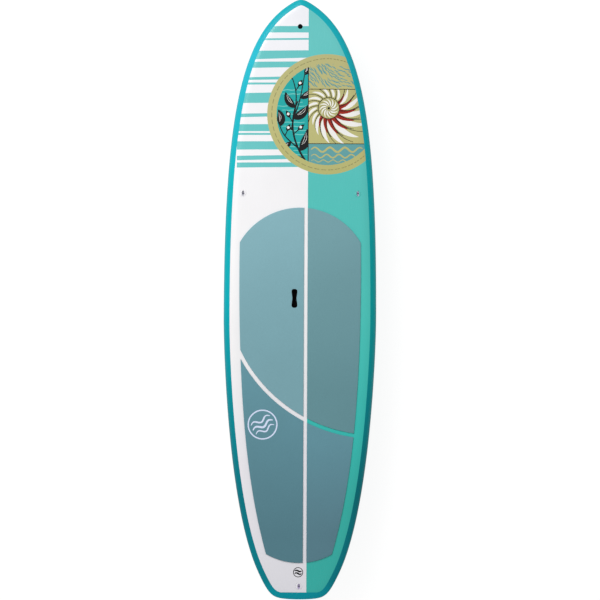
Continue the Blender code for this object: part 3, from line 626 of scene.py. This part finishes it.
def bead_foam(name, code):
    """Expanded foam: beads pressed together, with darker joints."""
    shader = Shader(name, specular_ior_level=0.2)
    beads = shader.cells(260.0, "DISTANCE_TO_EDGE")
    shade = shader.spread(beads, 0.0, 0.12)
    dark = tuple(0.72 * c for c in linear(code)[:3]) + (1,)
    return shader.finish(shader.mix(shade, dark, linear(code)), 0.9, beads, 0.3 * MM)


def wood_strip(name, light, dark):
    """Straight-grained wood, its grain along the board."""
    shader = Shader(name)
    rings = shader.noise(45.0, 5.0, stretch=(6.0, 0.15, 6.0))
    colour = shader.mix(shader.spread(rings, 0.35, 0.65), linear(light), linear(dark))
    return shader.finish(colour, 0.62, rings, 0.08 * MM)


def woven_patch(name, code):
    """A thin woven membrane."""
    shader = Shader(name)
    weave = shader.node("ShaderNodeTexWave", {"Vector": shader.position, "Scale": 900.0}).outputs["Fac"]
    colour = shader.mottled(linear(code), weave, 0.08)
    return shader.finish(colour, 0.85, weave, 0.05 * MM)


def soft_rubber(name, code):
    shader = Shader(name, specular_ior_level=0.3)
    grain = shader.noise(900.0, 3.0)
    return shader.finish(shader.mottled(linear(code), grain, 0.15), 0.7, grain, 0.03 * MM)


# Colours are (y in metres, sRGB code). The rail has them for its left and its right side, and keeps only
# EDGE_SHADE of its colour where it turns down: painted shade. Its left side is painted lighter than its
# right, and both are painted lighter towards the nose: painted light from the key ahead on the left.
EDGE_SHADE = 0.68
RAIL_Y = (-1.6, -1.5, -1.05, -0.55, 0.0, 0.6, 1.3, 1.6)
RAIL_LEFT = ("0597a6", "067a86", "046e7a", "05828d", "06a0ab", "0ea5ae", "2aafc1", "1aa0ab")
RAIL_RIGHT = ("0590a0", "057580", "03686f", "037b82", "048f91", "04949a", "0f9aa3", "12a0aa")
# The white and the green are painted lighter at the nose end and darker towards the tail: painted shade
# for the light falling off away from the key.
WHITE_Y = (-1.6, -0.9, -0.3, 0.2, 0.8, 1.6)
WHITE = ("d8d7dd", "dddbe0", "e6e5e6", "e8e7e8", "e5e4e6", "e0e1e6")
GREEN_Y = (-1.6, -1.1, -0.7, 0.0, 0.64, 1.4)
GREEN = ("30a89f", "2ca69b", "2eb2a9", "45b9af", "4fb6b0", "60b9b6")
PAINT_STOPS = {
    "white": tuple(zip(WHITE_Y, WHITE)),
    "green": tuple(zip(GREEN_Y, GREEN)),
    "gold": ((0.6, "aba969"), (0.96, "b3af75"), (1.3, "aeaa75")),
    "lagoon": ((0.7, "169c99"), (1.3, "189e9c")),
    "foam_line": ((0.7, "6dbdb5"), (1.3, "74c2bb")),
    "ink": ((0.6, "0b0c0f"), (1.6, "101114")),
    "cream": ((0.6, "e2e1dd"), (1.6, "e4e3e0")),
}
PLAIN_PAINTS = {
    "stripe": "62b8b7",
    "gold_dark": "7d7a50",
    "brick": "901f10",
    "reed": "568f95",
    "harbour": "5c9799",
}
PAD_STOPS = {
    "front_left": ((-0.3, "739ca5"), (0.49, "7ea8b1")),
    "front_right": ((-0.5, "5f888f"), (0.49, "6f989f")),
    "rear_left": ((-1.25, "4f7782"), (-0.45, "5f8d99")),
    "rear_right": ((-1.25, "537884"), (-0.75, "5d8a96")),
}


def make_materials():
    plain = {name: ((0, code), (1, code)) for name, code in PLAIN_PAINTS.items()}
    made = {name: gloss_paint(f"print_{name}", stops) for name, stops in (PAINT_STOPS | plain).items()}
    left, right = (tuple(zip(RAIL_Y, codes)) for codes in (RAIL_LEFT, RAIL_RIGHT))
    made["teal"] = gloss_paint("rail_teal", left, right, 0.02, 0.06, 0.05)
    for name, stops in PAD_STOPS.items():
        made[f"pad_{name}"] = foam_pad(f"pad_{name}", stops)
    made["pad_print"] = foam_pad("pad_print", ((-0.8, "cdd7ee"), (-0.5, "cdd7ee")))
    made["black_plastic"] = moulded_plastic("moulded_black", "040405", 0.6, 0.06)
    made["fin_black"] = moulded_plastic("fin_black", "0b0b0d", 0.42, 0.3, 0.01 * MM)
    made["left_cup"] = cup_plastic("cup_left", "e6e5e8", "e2e2e8", HOLES[0][:2])
    made["right_cup"] = cup_plastic("cup_right", "4eb5ae", "e4e4f4", HOLES[1][:2])
    # The tail cup's face matches the deck's white there, painted shade included. Its inside is painted
    # lighter than the other cups' insides: painted light to make up for the dimmer light at the tail.
    made["tail_cup"] = cup_plastic("cup_tail", "dad8de", "f2eaff", HOLES[2][:2])
    # Steel for the bars in the cups: rougher than the bright steel, and painted darker as painted shade
    # for their place down in the cups.
    made["dull_shaded_steel"] = brushed_metal("dull_shaded_steel", "6e6c78", 0.4)
    made["grey_plastic"] = moulded_plastic("moulded_grey", "33373c")
    made["steel"] = brushed_metal("brushed_steel", "b9bcc0")
    made["brass"] = brushed_metal("turned_brass", "b8954a")
    made["core_foam"] = bead_foam("core_foam", "f4f3ec")
    made["dense_foam"] = bead_foam("dense_foam", "d9c98f")
    made["stringer_wood"] = wood_strip("stringer_wood", "c79a62", "9a6a38")
    made["seal_rubber"] = soft_rubber("seal_rubber", "151515")
    made["vent_fabric"] = woven_patch("vent_fabric", "e8e8e8")
    return made


# ---- hull


def make_rail(materials):
    """The rail and bottom laminate: rings round the outline, then a patch with the fin box's hole."""
    share = 2 / ROLL_POWER
    rolled = [ROLL_BAND * (1 - math.cos(math.radians(a)) ** share) for a in ROLL_ANGLES]
    rows = [(SEAM, deck_height)] + [(inset, deck_height) for inset in reversed(rolled) if inset < SEAM]
    rows += [(0, None)] + [(inset, bottom_height) for inset in rolled] + [(BOTTOM_PATCH, bottom_height)]
    vertices = []
    for inset, height in rows:
        points = closed_ring(inset)
        z = apex(points[:, 1]) if height is None else height(points)
        vertices.extend(np.column_stack([points, z]))
    edge = closed_ring(BOTTOM_PATCH)
    faces = ring_faces(len(rows), len(edge))
    slot = stadium(0, FIN_BOX_Y, *FIN_BOX)
    points, triangles, owners = planar_map([edge, slot], grid_spots(edge, 2 * GRID))
    points, patch = used_only(points, [t for t, own in zip(triangles, owners) if own == {0}])
    first = len(vertices)
    vertices.extend(np.column_stack([points, bottom_height(points)]))
    faces += [[first + i for i in t] for t in patch]
    rail = add_mesh("rail_and_bottom", vertices, faces, [materials["teal"]])
    weld(rail)
    thicken(rail, LAMINATE)
    place(rail, "board", "teal_gelcoat", "bottom_shell")


def thicken(obj, depth):
    """Gives an open surface whose faces point out a wall that goes in by depth."""
    work = bmesh.new()
    work.from_mesh(obj.data)
    work.normal_update()
    work.verts.ensure_lookup_table()
    middle = sum((v.co for v in work.verts), Vector()) / len(work.verts)
    outward = sum(f.normal.dot(f.calc_center_median() - middle) for f in work.faces)
    turn = 1 if outward > 0 else -1
    points = np.array([v.co for v in work.verts])
    normals = turn * np.array([v.normal for v in work.verts])
    faces = [[v.index for v in f.verts][::turn] for f in work.faces]
    work.free()
    count = len(points)
    materials = list(obj.data.materials)
    mesh = bpy.data.meshes.new(obj.name)
    mesh.from_pydata(np.vstack([points, points - normals * depth]).tolist(), [], doubled(faces, count))
    for material in materials:
        mesh.materials.append(material)
    mesh.shade_smooth()
    crease(mesh, CREASE)
    obj.data = mesh


# ---- printed deck

# Colour fields. Each stripe is (low, high) at its left end, then (low, high) at SPLIT.
SPLIT = 0.040
TAIL_LINE = -1.561
STRIPES = (
    (1.424, 1.458, 1.424, 1.458),
    (1.381, 1.391, 1.386, 1.395),
    (1.279, 1.326, 1.291, 1.330),
    (1.235, 1.268, 1.241, 1.271),
    (1.171, 1.185, 1.177, 1.193),
    (1.147, 1.158, 1.149, 1.159),
    (1.049, 1.101, 1.052, 1.110),
    (0.973, 0.992, 0.983, 1.000),
    (0.899, 0.936, 0.900, 0.938),
    (0.879, 0.890, 0.880, 0.890),
    (0.801, 0.845, 0.803, 0.847),
    (0.744, 0.768, 0.754, 0.774),
    (0.705, 0.732, 0.710, 0.734),
)
STRIPE_LEFT = -0.34

# Round panel of artwork.
DISC = (0.141, 0.990)
DISC_OUTER = 0.320
DISC_INNER = 0.270
DISC_LINE = 0.296
ART_BOX = (-0.2, 0.5, 0.5, 1.4)
PANEL_TOP = 1.124
PANEL_LOW = 0.834
RULE = 4.5 * MM
ROSETTE = (0.149, 1.023)
ROSETTE_HUB = 0.056
PETALS = 16
HUB_PETALS = 12
RIPPLES = 17
REEDS = 104
DASHES = 84
SWELLS = ((0.802, 0.012, 0.080, 0.011), (0.768, 0.009, 0.066, 0.008), (0.742, 0.006, 0.052, 0.005))
EMBLEM = (-0.004, -1.453, 0.027)
EMBLEM_RING = 4 * MM
EMBLEM_WAVE = (3.6 * MM, 0.038, 9 * MM)
PAD_EMBLEM = (-0.197, -0.666, 0.080)
PAD_EMBLEM_RING = 7 * MM
PAD_EMBLEM_TURN = math.radians(28)


def off_stem(stem, t, turn):
    """The point at a fraction t of a cubic stem, and a direction turned off it there by some degrees."""
    a, b, c, d = np.array(stem, float)
    run = 3 * (1 - t) ** 2 * (b - a) + 6 * (1 - t) * t * (c - b) + 3 * t**2 * (d - c)
    way = math.atan2(run[1], run[0]) + math.radians(turn)
    return cubic_at(stem, t), np.array([math.cos(way), math.sin(way)])


def sprig_art():
    """A leafy sprig with buds, in ink and cream."""
    main = ((0.024, 0.745), (-0.050, 0.850), (-0.062, 0.960), (-0.016, 1.060))
    tall = ((-0.050, 0.905), (-0.030, 1.020), (-0.006, 1.090), (-0.048, 1.185))
    right = ((-0.036, 0.985), (-0.008, 1.030), (0.004, 1.110), (0.020, 1.205))
    low = ((-0.016, 0.812), (-0.060, 0.850), (-0.092, 0.868), (-0.112, 0.930))
    stems = ((main, 11, 7, 40), (tall, 8, 5, 30), (right, 7.5, 4.5, 30), (low, 8, 5, 24))
    art = [(stroke(stem, start * MM, end * MM, steps), "ink") for stem, start, end, steps in stems]
    leaves = (
        (main, 0.16, -46, 0.125, 0.050),
        (main, 0.70, -42, 0.112, 0.046),
        (tall, 0.98, 10, 0.066, 0.030),
        (tall, 0.40, 40, 0.100, 0.040),
        (right, 0.98, -6, 0.056, 0.028),
        (right, 0.50, -36, 0.080, 0.034),
        (low, 0.98, -12, 0.090, 0.044),
        (low, 0.30, 66, 0.058, 0.028),
    )
    for stem, t, turn, length, width in leaves:
        base, way = off_stem(stem, t, turn)
        tip = base + length * way
        bend = 0.12 if turn > 0 else -0.12
        art.append((blade(base, tip, width, bend), "ink"))
        inner_base = base + 0.26 * (tip - base)
        inner_tip = base + 0.84 * (tip - base)
        for side in (-0.09, 0.07):
            art.append((blade(inner_base, inner_tip, 2.2 * MM, bend + side), "cream"))
    buds = (
        (tall, 0.12, 38, 0.050),
        (tall, 0.74, -40, 0.046),
        (main, 0.44, -60, 0.052),
        (main, 0.04, 42, 0.060),
        (low, 0.62, -62, 0.046),
    )
    for stem, t, turn, reach in buds:
        base, way = off_stem(stem, t, turn)
        heart = base + reach * way
        beyond = base + 1.5 * reach * way
        art.append((stroke((base, base, heart, heart), 5 * MM, 6 * MM, 8), "ink"))
        art.append((blade(heart + 0.4 * (base - heart), beyond, 21 * MM, 0.04), "ink"))
        art.append((circle(*heart, 0.0128, 24), "ink"))
        art.append((circle(heart[0] - 1.5 * MM, heart[1] + 2.5 * MM, 0.0074, 16), "cream"))
    return art


def ripple_art():
    """Broken pale water lines behind the sprig."""
    art = []
    for row in range(RIPPLES):
        y = 0.775 + 0.0215 * row
        if row % 5 == 4:
            continue
        left = -0.130 + 0.030 * (row * 7 % 4)
        right = 0.038 - 0.014 * (row * 5 % 3)
        art.append((wave(left, right, y, 1.1 * MM, 0.047, 4.2 * MM), "foam_line"))
    return art


def swirl(start, inner, outer, turn, half_widths, steps=20):
    """A stroke that winds outward round the rosette's middle, from an angle start."""
    radius = np.linspace(inner, outer, steps)
    a = start + turn * ((radius - inner) / (outer - inner)) ** 1.3
    line = np.column_stack([ROSETTE[0] + radius * np.cos(a), ROSETTE[1] + radius * np.sin(a)])
    return band(line, half_widths(np.linspace(0, 1, steps)))


def rosette_art():
    """A pinwheel of petals round a hub, with brick-red wedges on its lower side."""
    art = []
    for i in range(PETALS):
        start = 2 * math.pi * i / PETALS
        low_side = max(0.0, math.cos(start + math.radians(58))) ** 0.8
        outer = 0.122 + 0.100 * low_side
        fat = 0.0062 + 0.0088 * low_side

        def petal(t):
            return fat * np.sin(math.pi * (0.06 + 0.94 * t) ** 0.75) ** 0.8 + 0.3 * MM

        def wedge(t):
            return 15 * MM * (1 - t) ** 0.8 * low_side**0.4 + 0.4 * MM

        art.append((swirl(start, 0.064, outer, 0.42, petal), "cream"))
        line = swirl(start + 0.17, ROSETTE_HUB, outer + 0.012, 0.46, lambda t: 2.2 * MM * (1 - 0.45 * t))
        art.append((line, "ink"))
        if low_side > 0.05:
            reach = 0.098 + 0.056 * low_side
            art.append((swirl(start + 0.115, 0.057, reach, 0.24, wedge), "brick"))
            line = swirl(start + 0.17, 0.057, reach + 0.02, 0.32, lambda t: 2.6 * MM * (1 - 0.4 * t))
            art.append((line, "ink"))
    art.append((circle(*ROSETTE, ROSETTE_HUB + 2.2 * MM, 64), "ink"))
    art.append((circle(*ROSETTE, ROSETTE_HUB - 1.4 * MM, 64), "gold"))

    def hub_petal(t):
        return 3.4 * MM * np.sin(math.pi * (0.08 + 0.92 * t)) ** 0.8 + 0.2 * MM

    for i in range(HUB_PETALS):
        start = 2 * math.pi * i / HUB_PETALS
        art.append((swirl(start, 0.014, 0.050, 0.75, hub_petal), "cream"))
        line = swirl(start + 0.24, 0.010, 0.054, 0.80, lambda t: 1.1 * MM + 0 * t)
        art.append((line, "gold_dark"))
    art.append((circle(*ROSETTE, 0.0065, 20), "ink"))
    return art


def reed_art():
    """A field of short reed strokes in the upper panel, spread evenly by multiples of three fractions."""
    art = []
    for i in range(REEDS):
        x = 0.050 + 0.270 * ((i * 0.61803) % 1)
        y = 1.130 + 0.128 * ((i * 0.75488 + 0.13 * math.sin(3.3 * i)) % 1)
        lean = math.radians(148 - 900 * (x - 0.13) ** 2 + 26 * math.sin(2.4 * i))
        length = 0.022 + 0.018 * ((i * 0.3819) % 1)
        tip = (x + length * math.cos(lean), y + length * math.sin(lean))
        art.append((blade((x, y), tip, 5.0 * MM, 0.14 * math.sin(1.7 * i)), "reed"))
    return art


def swell_art():
    """Brushed swell lines in the lower panel."""
    return [(wave(0.056, 0.330, *swell, 90), "gold") for swell in SWELLS]


def deck_areas():
    """(outline, paint, what it is clipped to) for everything printed on the deck, later ones on top."""
    reach = 1.02 * HALF_LENGTH
    edge = closed_ring(SEAM)
    areas = [(edge, "white", ()), (rectangle(SPLIT, -reach, reach, reach), "green", ())]
    for left_low, left_high, right_low, right_high in STRIPES:
        low_side = [(STRIPE_LEFT, left_low), (SPLIT, right_low)]
        quad = np.array(low_side + [(SPLIT, right_high), (STRIPE_LEFT, left_high)])
        areas.append((quad, "stripe", ()))
    areas.append((circle(*DISC, DISC_OUTER, 180), "gold", ()))
    for i in range(DASHES):
        start = 60 + i * 300 / DASHES + 0.6 * math.sin(3.1 * i)
        dash = arc_band(*DISC, DISC_LINE, 3.4 * MM, start, start + 2.4, 6)
        areas.append((dash, "gold_dark", ()))
    inner = len(areas)
    areas.append((circle(*DISC, DISC_INNER, 160), "gold", ()))
    left, bottom, right, top = ART_BOX
    panels = (
        (rectangle(left, bottom, SPLIT, top), "lagoon", ripple_art() + sprig_art()),
        (rectangle(SPLIT, PANEL_TOP, right, top), "gold", reed_art()),
        (rectangle(SPLIT, PANEL_LOW, right, PANEL_TOP), "gold", rosette_art()),
        (rectangle(SPLIT, bottom, right, PANEL_LOW), "harbour", swell_art()),
    )
    for panel, ground, art in panels:
        number = len(areas)
        areas.append((panel, ground, (inner,)))
        areas += [(outline, paint, (inner, number)) for outline, paint in art]
    half = RULE / 2
    areas.append((rectangle(SPLIT - half, bottom, SPLIT + half, top), "ink", (inner,)))
    for y in (PANEL_TOP, PANEL_LOW):
        areas.append((rectangle(SPLIT, y - half * 0.8, right, y + half * 0.8), "ink", (inner,)))
    x, y, radius = EMBLEM
    areas.append((circle(x, y, radius, 48), "ink", ()))
    areas.append((circle(x, y, radius - EMBLEM_RING, 48), "white", ()))
    for rise in (-7 * MM, 7 * MM):
        areas.append((wave(x - 0.019, x + 0.019, y + rise, *EMBLEM_WAVE, 30), "ink", ()))
    areas.append((rectangle(-0.2, -reach, 0.2, TAIL_LINE), "teal", ()))
    return areas


def make_deck(materials):
    """The deck laminate as one sheet, cut along every printed edge, with holes for the fittings."""
    areas = deck_areas()
    holes = [circle(*hole) for hole in HOLES] + [dog_bone(GAP)]
    outlines = [outline for outline, _, _ in areas] + holes
    edge = areas[0][0]
    spots = [grid_spots(edge, GRID)] + [closed_ring(inset) for inset in RIM_INSETS]
    points, triangles, owners = planar_map(outlines, np.vstack(spots))
    hole_owners = set(range(len(areas), len(outlines)))
    names = list(dict.fromkeys(paint for _, paint, _ in areas))
    faces, indices = [], []
    for triangle, own in zip(triangles, owners):
        if 0 not in own or own & hole_owners:
            continue
        shown = [i for i in own if own.issuperset(areas[i][2])]
        faces.append(triangle)
        indices.append(names.index(areas[max(shown)][1]))
    points, faces = used_only(points, faces)
    normals = surface_normals(points, deck_height)
    top = np.column_stack([points, deck_height(points)])
    count = len(points)
    vertices = np.vstack([top, top - normals * LAMINATE])
    all_faces = doubled(faces, count)
    all_indices = indices * 2 + [0] * (len(all_faces) - 2 * len(faces))
    paints = [materials[name] for name in names]
    deck = add_mesh("printed_deck", vertices, all_faces, paints, all_indices)
    deck.data.normals_split_custom_set_from_vertices(np.vstack([normals, -normals]).tolist())
    place(deck, "board", "deck_gelcoat", "deck_shell")


# ---- deck pads


def pad_side(y):
    drop = (y - PAD_WIDEST_Y) ** 2
    return PAD_HALF_WIDTH - PAD_TAPER[0] * drop - PAD_TAPER[1] * drop**2


def arc(x, centre_x, centre_y, radius, side):
    """The y of a circle at x, on its nose side (+1) or its tail side (-1)."""
    return centre_y + side * math.sqrt(radius**2 - (x - centre_x) ** 2)


def pad_outline(inner, sign, front, steps=40):
    """One pad's plan: inner edge x, side of the board, and whether it lies ahead of the groove."""
    x0, y0, radius = PAD_GROOVE_ARC

    def upper(x):
        return arc(x, *PAD_TOP_ARC, 1) if front else arc(x, x0, y0, radius + PAD_GROOVE, -1)

    def lower(x):
        return arc(x, x0, y0, radius, -1) if front else arc(x, *PAD_TAIL_ARC, -1)

    def corner(curve):
        """Where the pad's side meets the curve, closing in on it by a share of what is left each time."""
        y = curve(sign * PAD_HALF_WIDTH / 2)
        for _ in range(CORNER_ROUNDS):
            y += CORNER_SHARE * (curve(sign * pad_side(y)) - y)
        return y

    top, bottom = corner(upper), corner(lower)
    outline = [(x, upper(x)) for x in np.linspace(inner, sign * pad_side(top), steps)]
    outline += [(sign * pad_side(y), y) for y in np.linspace(top, bottom, 2 * steps)[1:-1]]
    outline += [(x, lower(x)) for x in np.linspace(sign * pad_side(bottom), inner, steps)]
    outline += [(inner, y) for y in np.linspace(lower(inner), upper(inner), 2 * steps)[1:-1]]
    return anticlockwise(np.array(outline))


def moved_in(loop, distance):
    """A closed loop, anticlockwise, with each corner moved in square to its two sides."""
    before = loop - np.roll(loop, 1, axis=0)
    after = np.roll(loop, -1, axis=0) - loop
    before /= np.linalg.norm(before, axis=1)[:, None]
    after /= np.linalg.norm(after, axis=1)[:, None]
    left = np.column_stack([-before[:, 1] - after[:, 1], before[:, 0] + after[:, 0]])
    square = np.clip(1 + (before * after).sum(1), SHARPEST_CORNER, None)
    return loop + distance * left / square[:, None]


def make_pad(node, loops, prints, materials):
    """A foam pad on the deck: a base, walls with a rounded top edge, and a top cut along its prints."""
    vertices, faces = [], []
    for loop, inward in loops:
        faces += ring_faces(len(PAD_EDGE), len(loop), len(vertices))
        for inset, lift in PAD_EDGE:
            points = moved_in(loop, inset * inward)
            vertices.extend(np.column_stack([points, deck_height(points) + lift]))
    indices = [0] * len(faces)
    spots = grid_spots(loops[0][0], GRID)
    for inset, lift in (PAD_EDGE[0], PAD_EDGE[-1]):
        outlines = [moved_in(loop, inset * inward) for loop, inward in loops]
        areas = [outline for outline, _ in prints] if lift == PAD_THICKNESS else []
        points, triangles, owners = planar_map(outlines + areas, spots)
        holes = set(range(1, len(loops)))
        kept = []
        for triangle, own in zip(triangles, owners):
            if 0 not in own or own & holes:
                continue
            printed = [prints[i - len(loops)][1] for i in sorted(own) if i >= len(loops)]
            kept.append(triangle)
            indices.append(printed[-1] if printed else 0)
        points, kept = used_only(points, kept)
        faces += [[len(vertices) + i for i in triangle] for triangle in kept]
        vertices.extend(np.column_stack([points, deck_height(points) + lift]))
    paints = [materials[node], materials["pad_print"]]
    pad = add_mesh(f"foam_{node}", vertices, faces, paints, indices)
    weld(pad)
    crease(pad.data, CREASE)
    place(pad, "board", "pad_foam", node)


def pad_emblem():
    """A ring round three curling wave strokes: (outline, 1 where printed, 0 where bare)."""
    x, y, radius = PAD_EMBLEM
    inner, turn = radius - PAD_EMBLEM_RING, PAD_EMBLEM_TURN
    spin = np.array([(math.cos(turn), math.sin(turn)), (-math.sin(turn), math.cos(turn))])
    art = [(circle(x, y, radius, 96), 1), (circle(x, y, inner, 96), 0)]
    for rise, width in ((-0.030, 0.008), (-0.004, 0.011), (0.024, 0.009)):
        reach = 0.82 * math.sqrt(inner**2 - rise**2)
        line = wave(-reach, reach, 0, 0.010, 2 * reach / 1.5, width, 50)
        art.append(((line + (0, rise)) @ spin + (x, y), 1))
    return art


def make_pads(materials):
    pads = (
        ("pad_front_left", LEFT_PAD_EDGE, -1, True),
        ("pad_front_right", RIGHT_PAD_EDGE, 1, True),
        ("pad_rear_left", LEFT_PAD_EDGE, -1, False),
        ("pad_rear_right", RIGHT_PAD_EDGE, 1, False),
    )
    for node, inner, sign, front in pads:
        loops = [(pad_outline(inner, sign, front), 1)]
        if node == "pad_front_left":
            loops.append((anticlockwise(dog_bone(GAP)), -1))
        prints = pad_emblem() if node == "pad_rear_left" else []
        make_pad(node, loops, prints, materials)


# ---- fin


def foil_ring(t):
    """The ring round the fin's foil at a fraction t of its depth: round in front and thin behind."""
    tip = math.sqrt(1 - t**8)
    leading = FIN_CHORD / 2 - FIN_SWEEP[0] * t - FIN_SWEEP[1] * t**3
    trailing = -FIN_CHORD / 2 + FIN_TRAILING[0] * math.sin(math.pi * t) - FIN_TRAILING[1] * t**2
    middle = trailing + FIN_THICKEST * (leading - trailing)
    half = FIN_TAB / 2 * (1 - FIN_THINNING * t) * tip
    c = (1 - np.cos(math.pi * np.arange(FOIL_POINTS + 1) / FOIL_POINTS)) / 2
    x = np.minimum(half * FOIL_SHAPE[0] * np.sqrt(c) * (1 - c) ** FOIL_SHAPE[1], half)
    y = middle + tip * (leading - middle + c * (trailing - leading))
    side = np.column_stack([x, y, np.full(len(c), FIN_ROOT_Z - FIN_DEPTH * t)])
    return np.vstack([side, side[-2:0:-1] * (-1, 1, 1)])


def slab(outlines, low, high):
    """A flat shape with holes, made solid between two heights."""
    points, triangles, owners = planar_map(outlines, [])
    points, faces = used_only(points, [t for t, own in zip(triangles, owners) if own == {0}])
    count = len(points)
    layers = [np.column_stack([points, np.full(count, z)]) for z in (high, low)]
    return np.vstack(layers), doubled(faces, count)


def make_fin(materials):
    """The fin: a swept blade, the tab that fills the box's channel, and the lug for its screw."""
    half = FIN_TAB / 2
    rings = [foil_ring(FIN_TIP * math.sin(math.pi / 2 * i / (FIN_RINGS - 1))) for i in range(FIN_RINGS)]
    rings[0][rings[0][:, 1] > TAB_SIDE[2], 2] = TAB_SIDE[1]
    count = len(rings[0])
    ends = [tuple(range(count)), tuple(range((FIN_RINGS - 1) * count, FIN_RINGS * count))]
    blade_faces = ends + ring_faces(FIN_RINGS, count)
    tab, tab_faces = slab([rectangle(*TAB_SIDE), circle(*PIN_HOLE, HOLE_STEPS)], -half, half)
    lug_top = [rectangle(-half, LUG_BACK, half, LUG_FRONT), circle(*SCREW_HOLE, HOLE_STEPS)]
    lug = slab(lug_top, *LUG_Z)
    vertices, faces = [], []
    for points, some in ((np.vstack(rings), blade_faces), (tab[:, [2, 0, 1]], tab_faces), lug):
        faces += [[len(vertices) + i for i in face] for face in some]
        vertices.extend(points)
    fin = add_mesh("fin_with_tab", vertices, faces, [materials["fin_black"]])
    fin.data.transform(surface_frame(0, FIN_BOX_Y, bottom_height))
    weld(fin)
    crease(fin.data, FIN_CREASE)
    place(fin, "fin", "black_plastic", "fin")


# ---- CAD nodes that stay

NODE_PAINTS = {
    "core_foam": ("core_left", "core_right"),
    "stringer_wood": ("stringer",),
    "dense_foam": ("handle_block", "fin_box_block"),
    "black_plastic": ("handle_well", "vent_housing", "vent_plug"),
    "seal_rubber": ("vent_o_ring",),
    "vent_fabric": ("vent_membrane",),
    "grey_plastic": ("fin_box",),
    "brass": ("fin_pin",),
    "steel": ("fin_screw", "fin_plate"),
    "left_cup": ("tie_down_left_cup",),
    "right_cup": ("tie_down_right_cup",),
    "tail_cup": ("leash_plug_cup",),
    "dull_shaded_steel": ("tie_down_left_bar", "tie_down_right_bar", "leash_plug_bar"),
}
SMOOTH_ANGLE = math.radians(38)
BEVEL_ANGLE = math.radians(40)
SOFT_EDGES = {
    "handle_well": 0.7 * MM,
    "vent_housing": 0.3 * MM,
    "vent_plug": 0.3 * MM,
    "fin_box": 0.5 * MM,
}


def dress_nodes(materials):
    """Each CAD node that stays gets its material and smooth shading, and some a small rounded edge."""
    for name, paint in ((name, paint) for paint, names in NODE_PAINTS.items() for name in names):
        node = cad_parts[name]
        node.data.materials.clear()
        node.data.materials.append(materials[paint])
        for kept in ("custom_normal", "sharp_edge"):
            if kept in node.data.attributes:
                node.data.attributes.remove(node.data.attributes[kept])
        node.data.shade_smooth()
        node.modifiers.new("weld", "WELD").merge_threshold = WELD
        if name in SOFT_EDGES:
            bevel = node.modifiers.new("rounded edges", "BEVEL")
            bevel.width = SOFT_EDGES[name]
            bevel.segments = 2
            bevel.limit_method = "ANGLE"
            bevel.angle_limit = BEVEL_ANGLE
        node.modifiers.new("creases", "EDGE_SPLIT").split_angle = SMOOTH_ANGLE


# ---- studio

LENS = 300
CAMERA = (0.0, -0.0005, 26.790)
CAMERA_ROLL = 0.0043
CLIP_END = 100
FLOOR_HALF = 40
FLOOR_Z = -0.20
FLOOR_GLOW = 0.88
FLOOR_GREY = "707070"
SKY = ((0.0, 1.35), (0.03, 1.35), (0.12, 0.62), (0.95, 1.0))
SKY_STRENGTH = 0.745
KEY_SIZE = 4.5
KEY_PLACE = (-3.0, 3.6, 5.6)
KEY_POWER = 335


def make_studio():
    """A lit pale floor, a soft surround, a large key light ahead on the left and the plan camera."""
    glow = {"emission_color": (1, 1, 1, 1), "emission_strength": FLOOR_GLOW}
    shader = Shader("pale_floor", specular_ior_level=0.1, **glow)
    pale = shader.finish(shader.mottled(linear(FLOOR_GREY), shader.noise(0.8), 0.01), 0.8)
    corners = rectangle(-FLOOR_HALF, -FLOOR_HALF, FLOOR_HALF, FLOOR_HALF)
    floor = add_mesh("floor", [(x, y, FLOOR_Z) for x, y in corners], [(0, 1, 2, 3)], [pale])

    world = bpy.data.worlds.new("studio")
    bpy.context.scene.world = world
    world.use_nodes = True
    tree = world.node_tree
    background = tree.nodes["Background"]
    direction = tree.nodes.new("ShaderNodeTexCoord").outputs["Generated"]
    height = tree.nodes.new("ShaderNodeSeparateXYZ")
    tree.links.new(direction, height.inputs[0])
    ramp = tree.nodes.new("ShaderNodeValToRGB")
    tree.links.new(height.outputs["Z"], ramp.inputs[0])
    fill_ramp(ramp, [(place, (grey, grey, grey, 1)) for place, grey in SKY])
    tree.links.new(ramp.outputs["Color"], background.inputs["Color"])
    background.inputs["Strength"].default_value = SKY_STRENGTH

    key = bpy.data.lights.new("key", "AREA")
    key.shape = "RECTANGLE"
    key.size, key.size_y = KEY_SIZE, KEY_SIZE
    key.energy = KEY_POWER
    key_object = add_object("key", key)
    key_object.location = KEY_PLACE
    key_object.rotation_euler = (-key_object.location).to_track_quat("-Z", "Y").to_euler()

    camera = add_object("camera", bpy.data.cameras.new("camera"))
    camera.data.lens = LENS
    camera.data.clip_end = CLIP_END
    camera.location = CAMERA
    camera.rotation_euler.z = CAMERA_ROLL
    bpy.context.scene.camera = camera
    bpy.context.scene.view_settings.view_transform = "Standard"


materials = make_materials()
make_rail(materials)
make_deck(materials)
make_pads(materials)
make_fin(materials)
dress_nodes(materials)
make_studio()
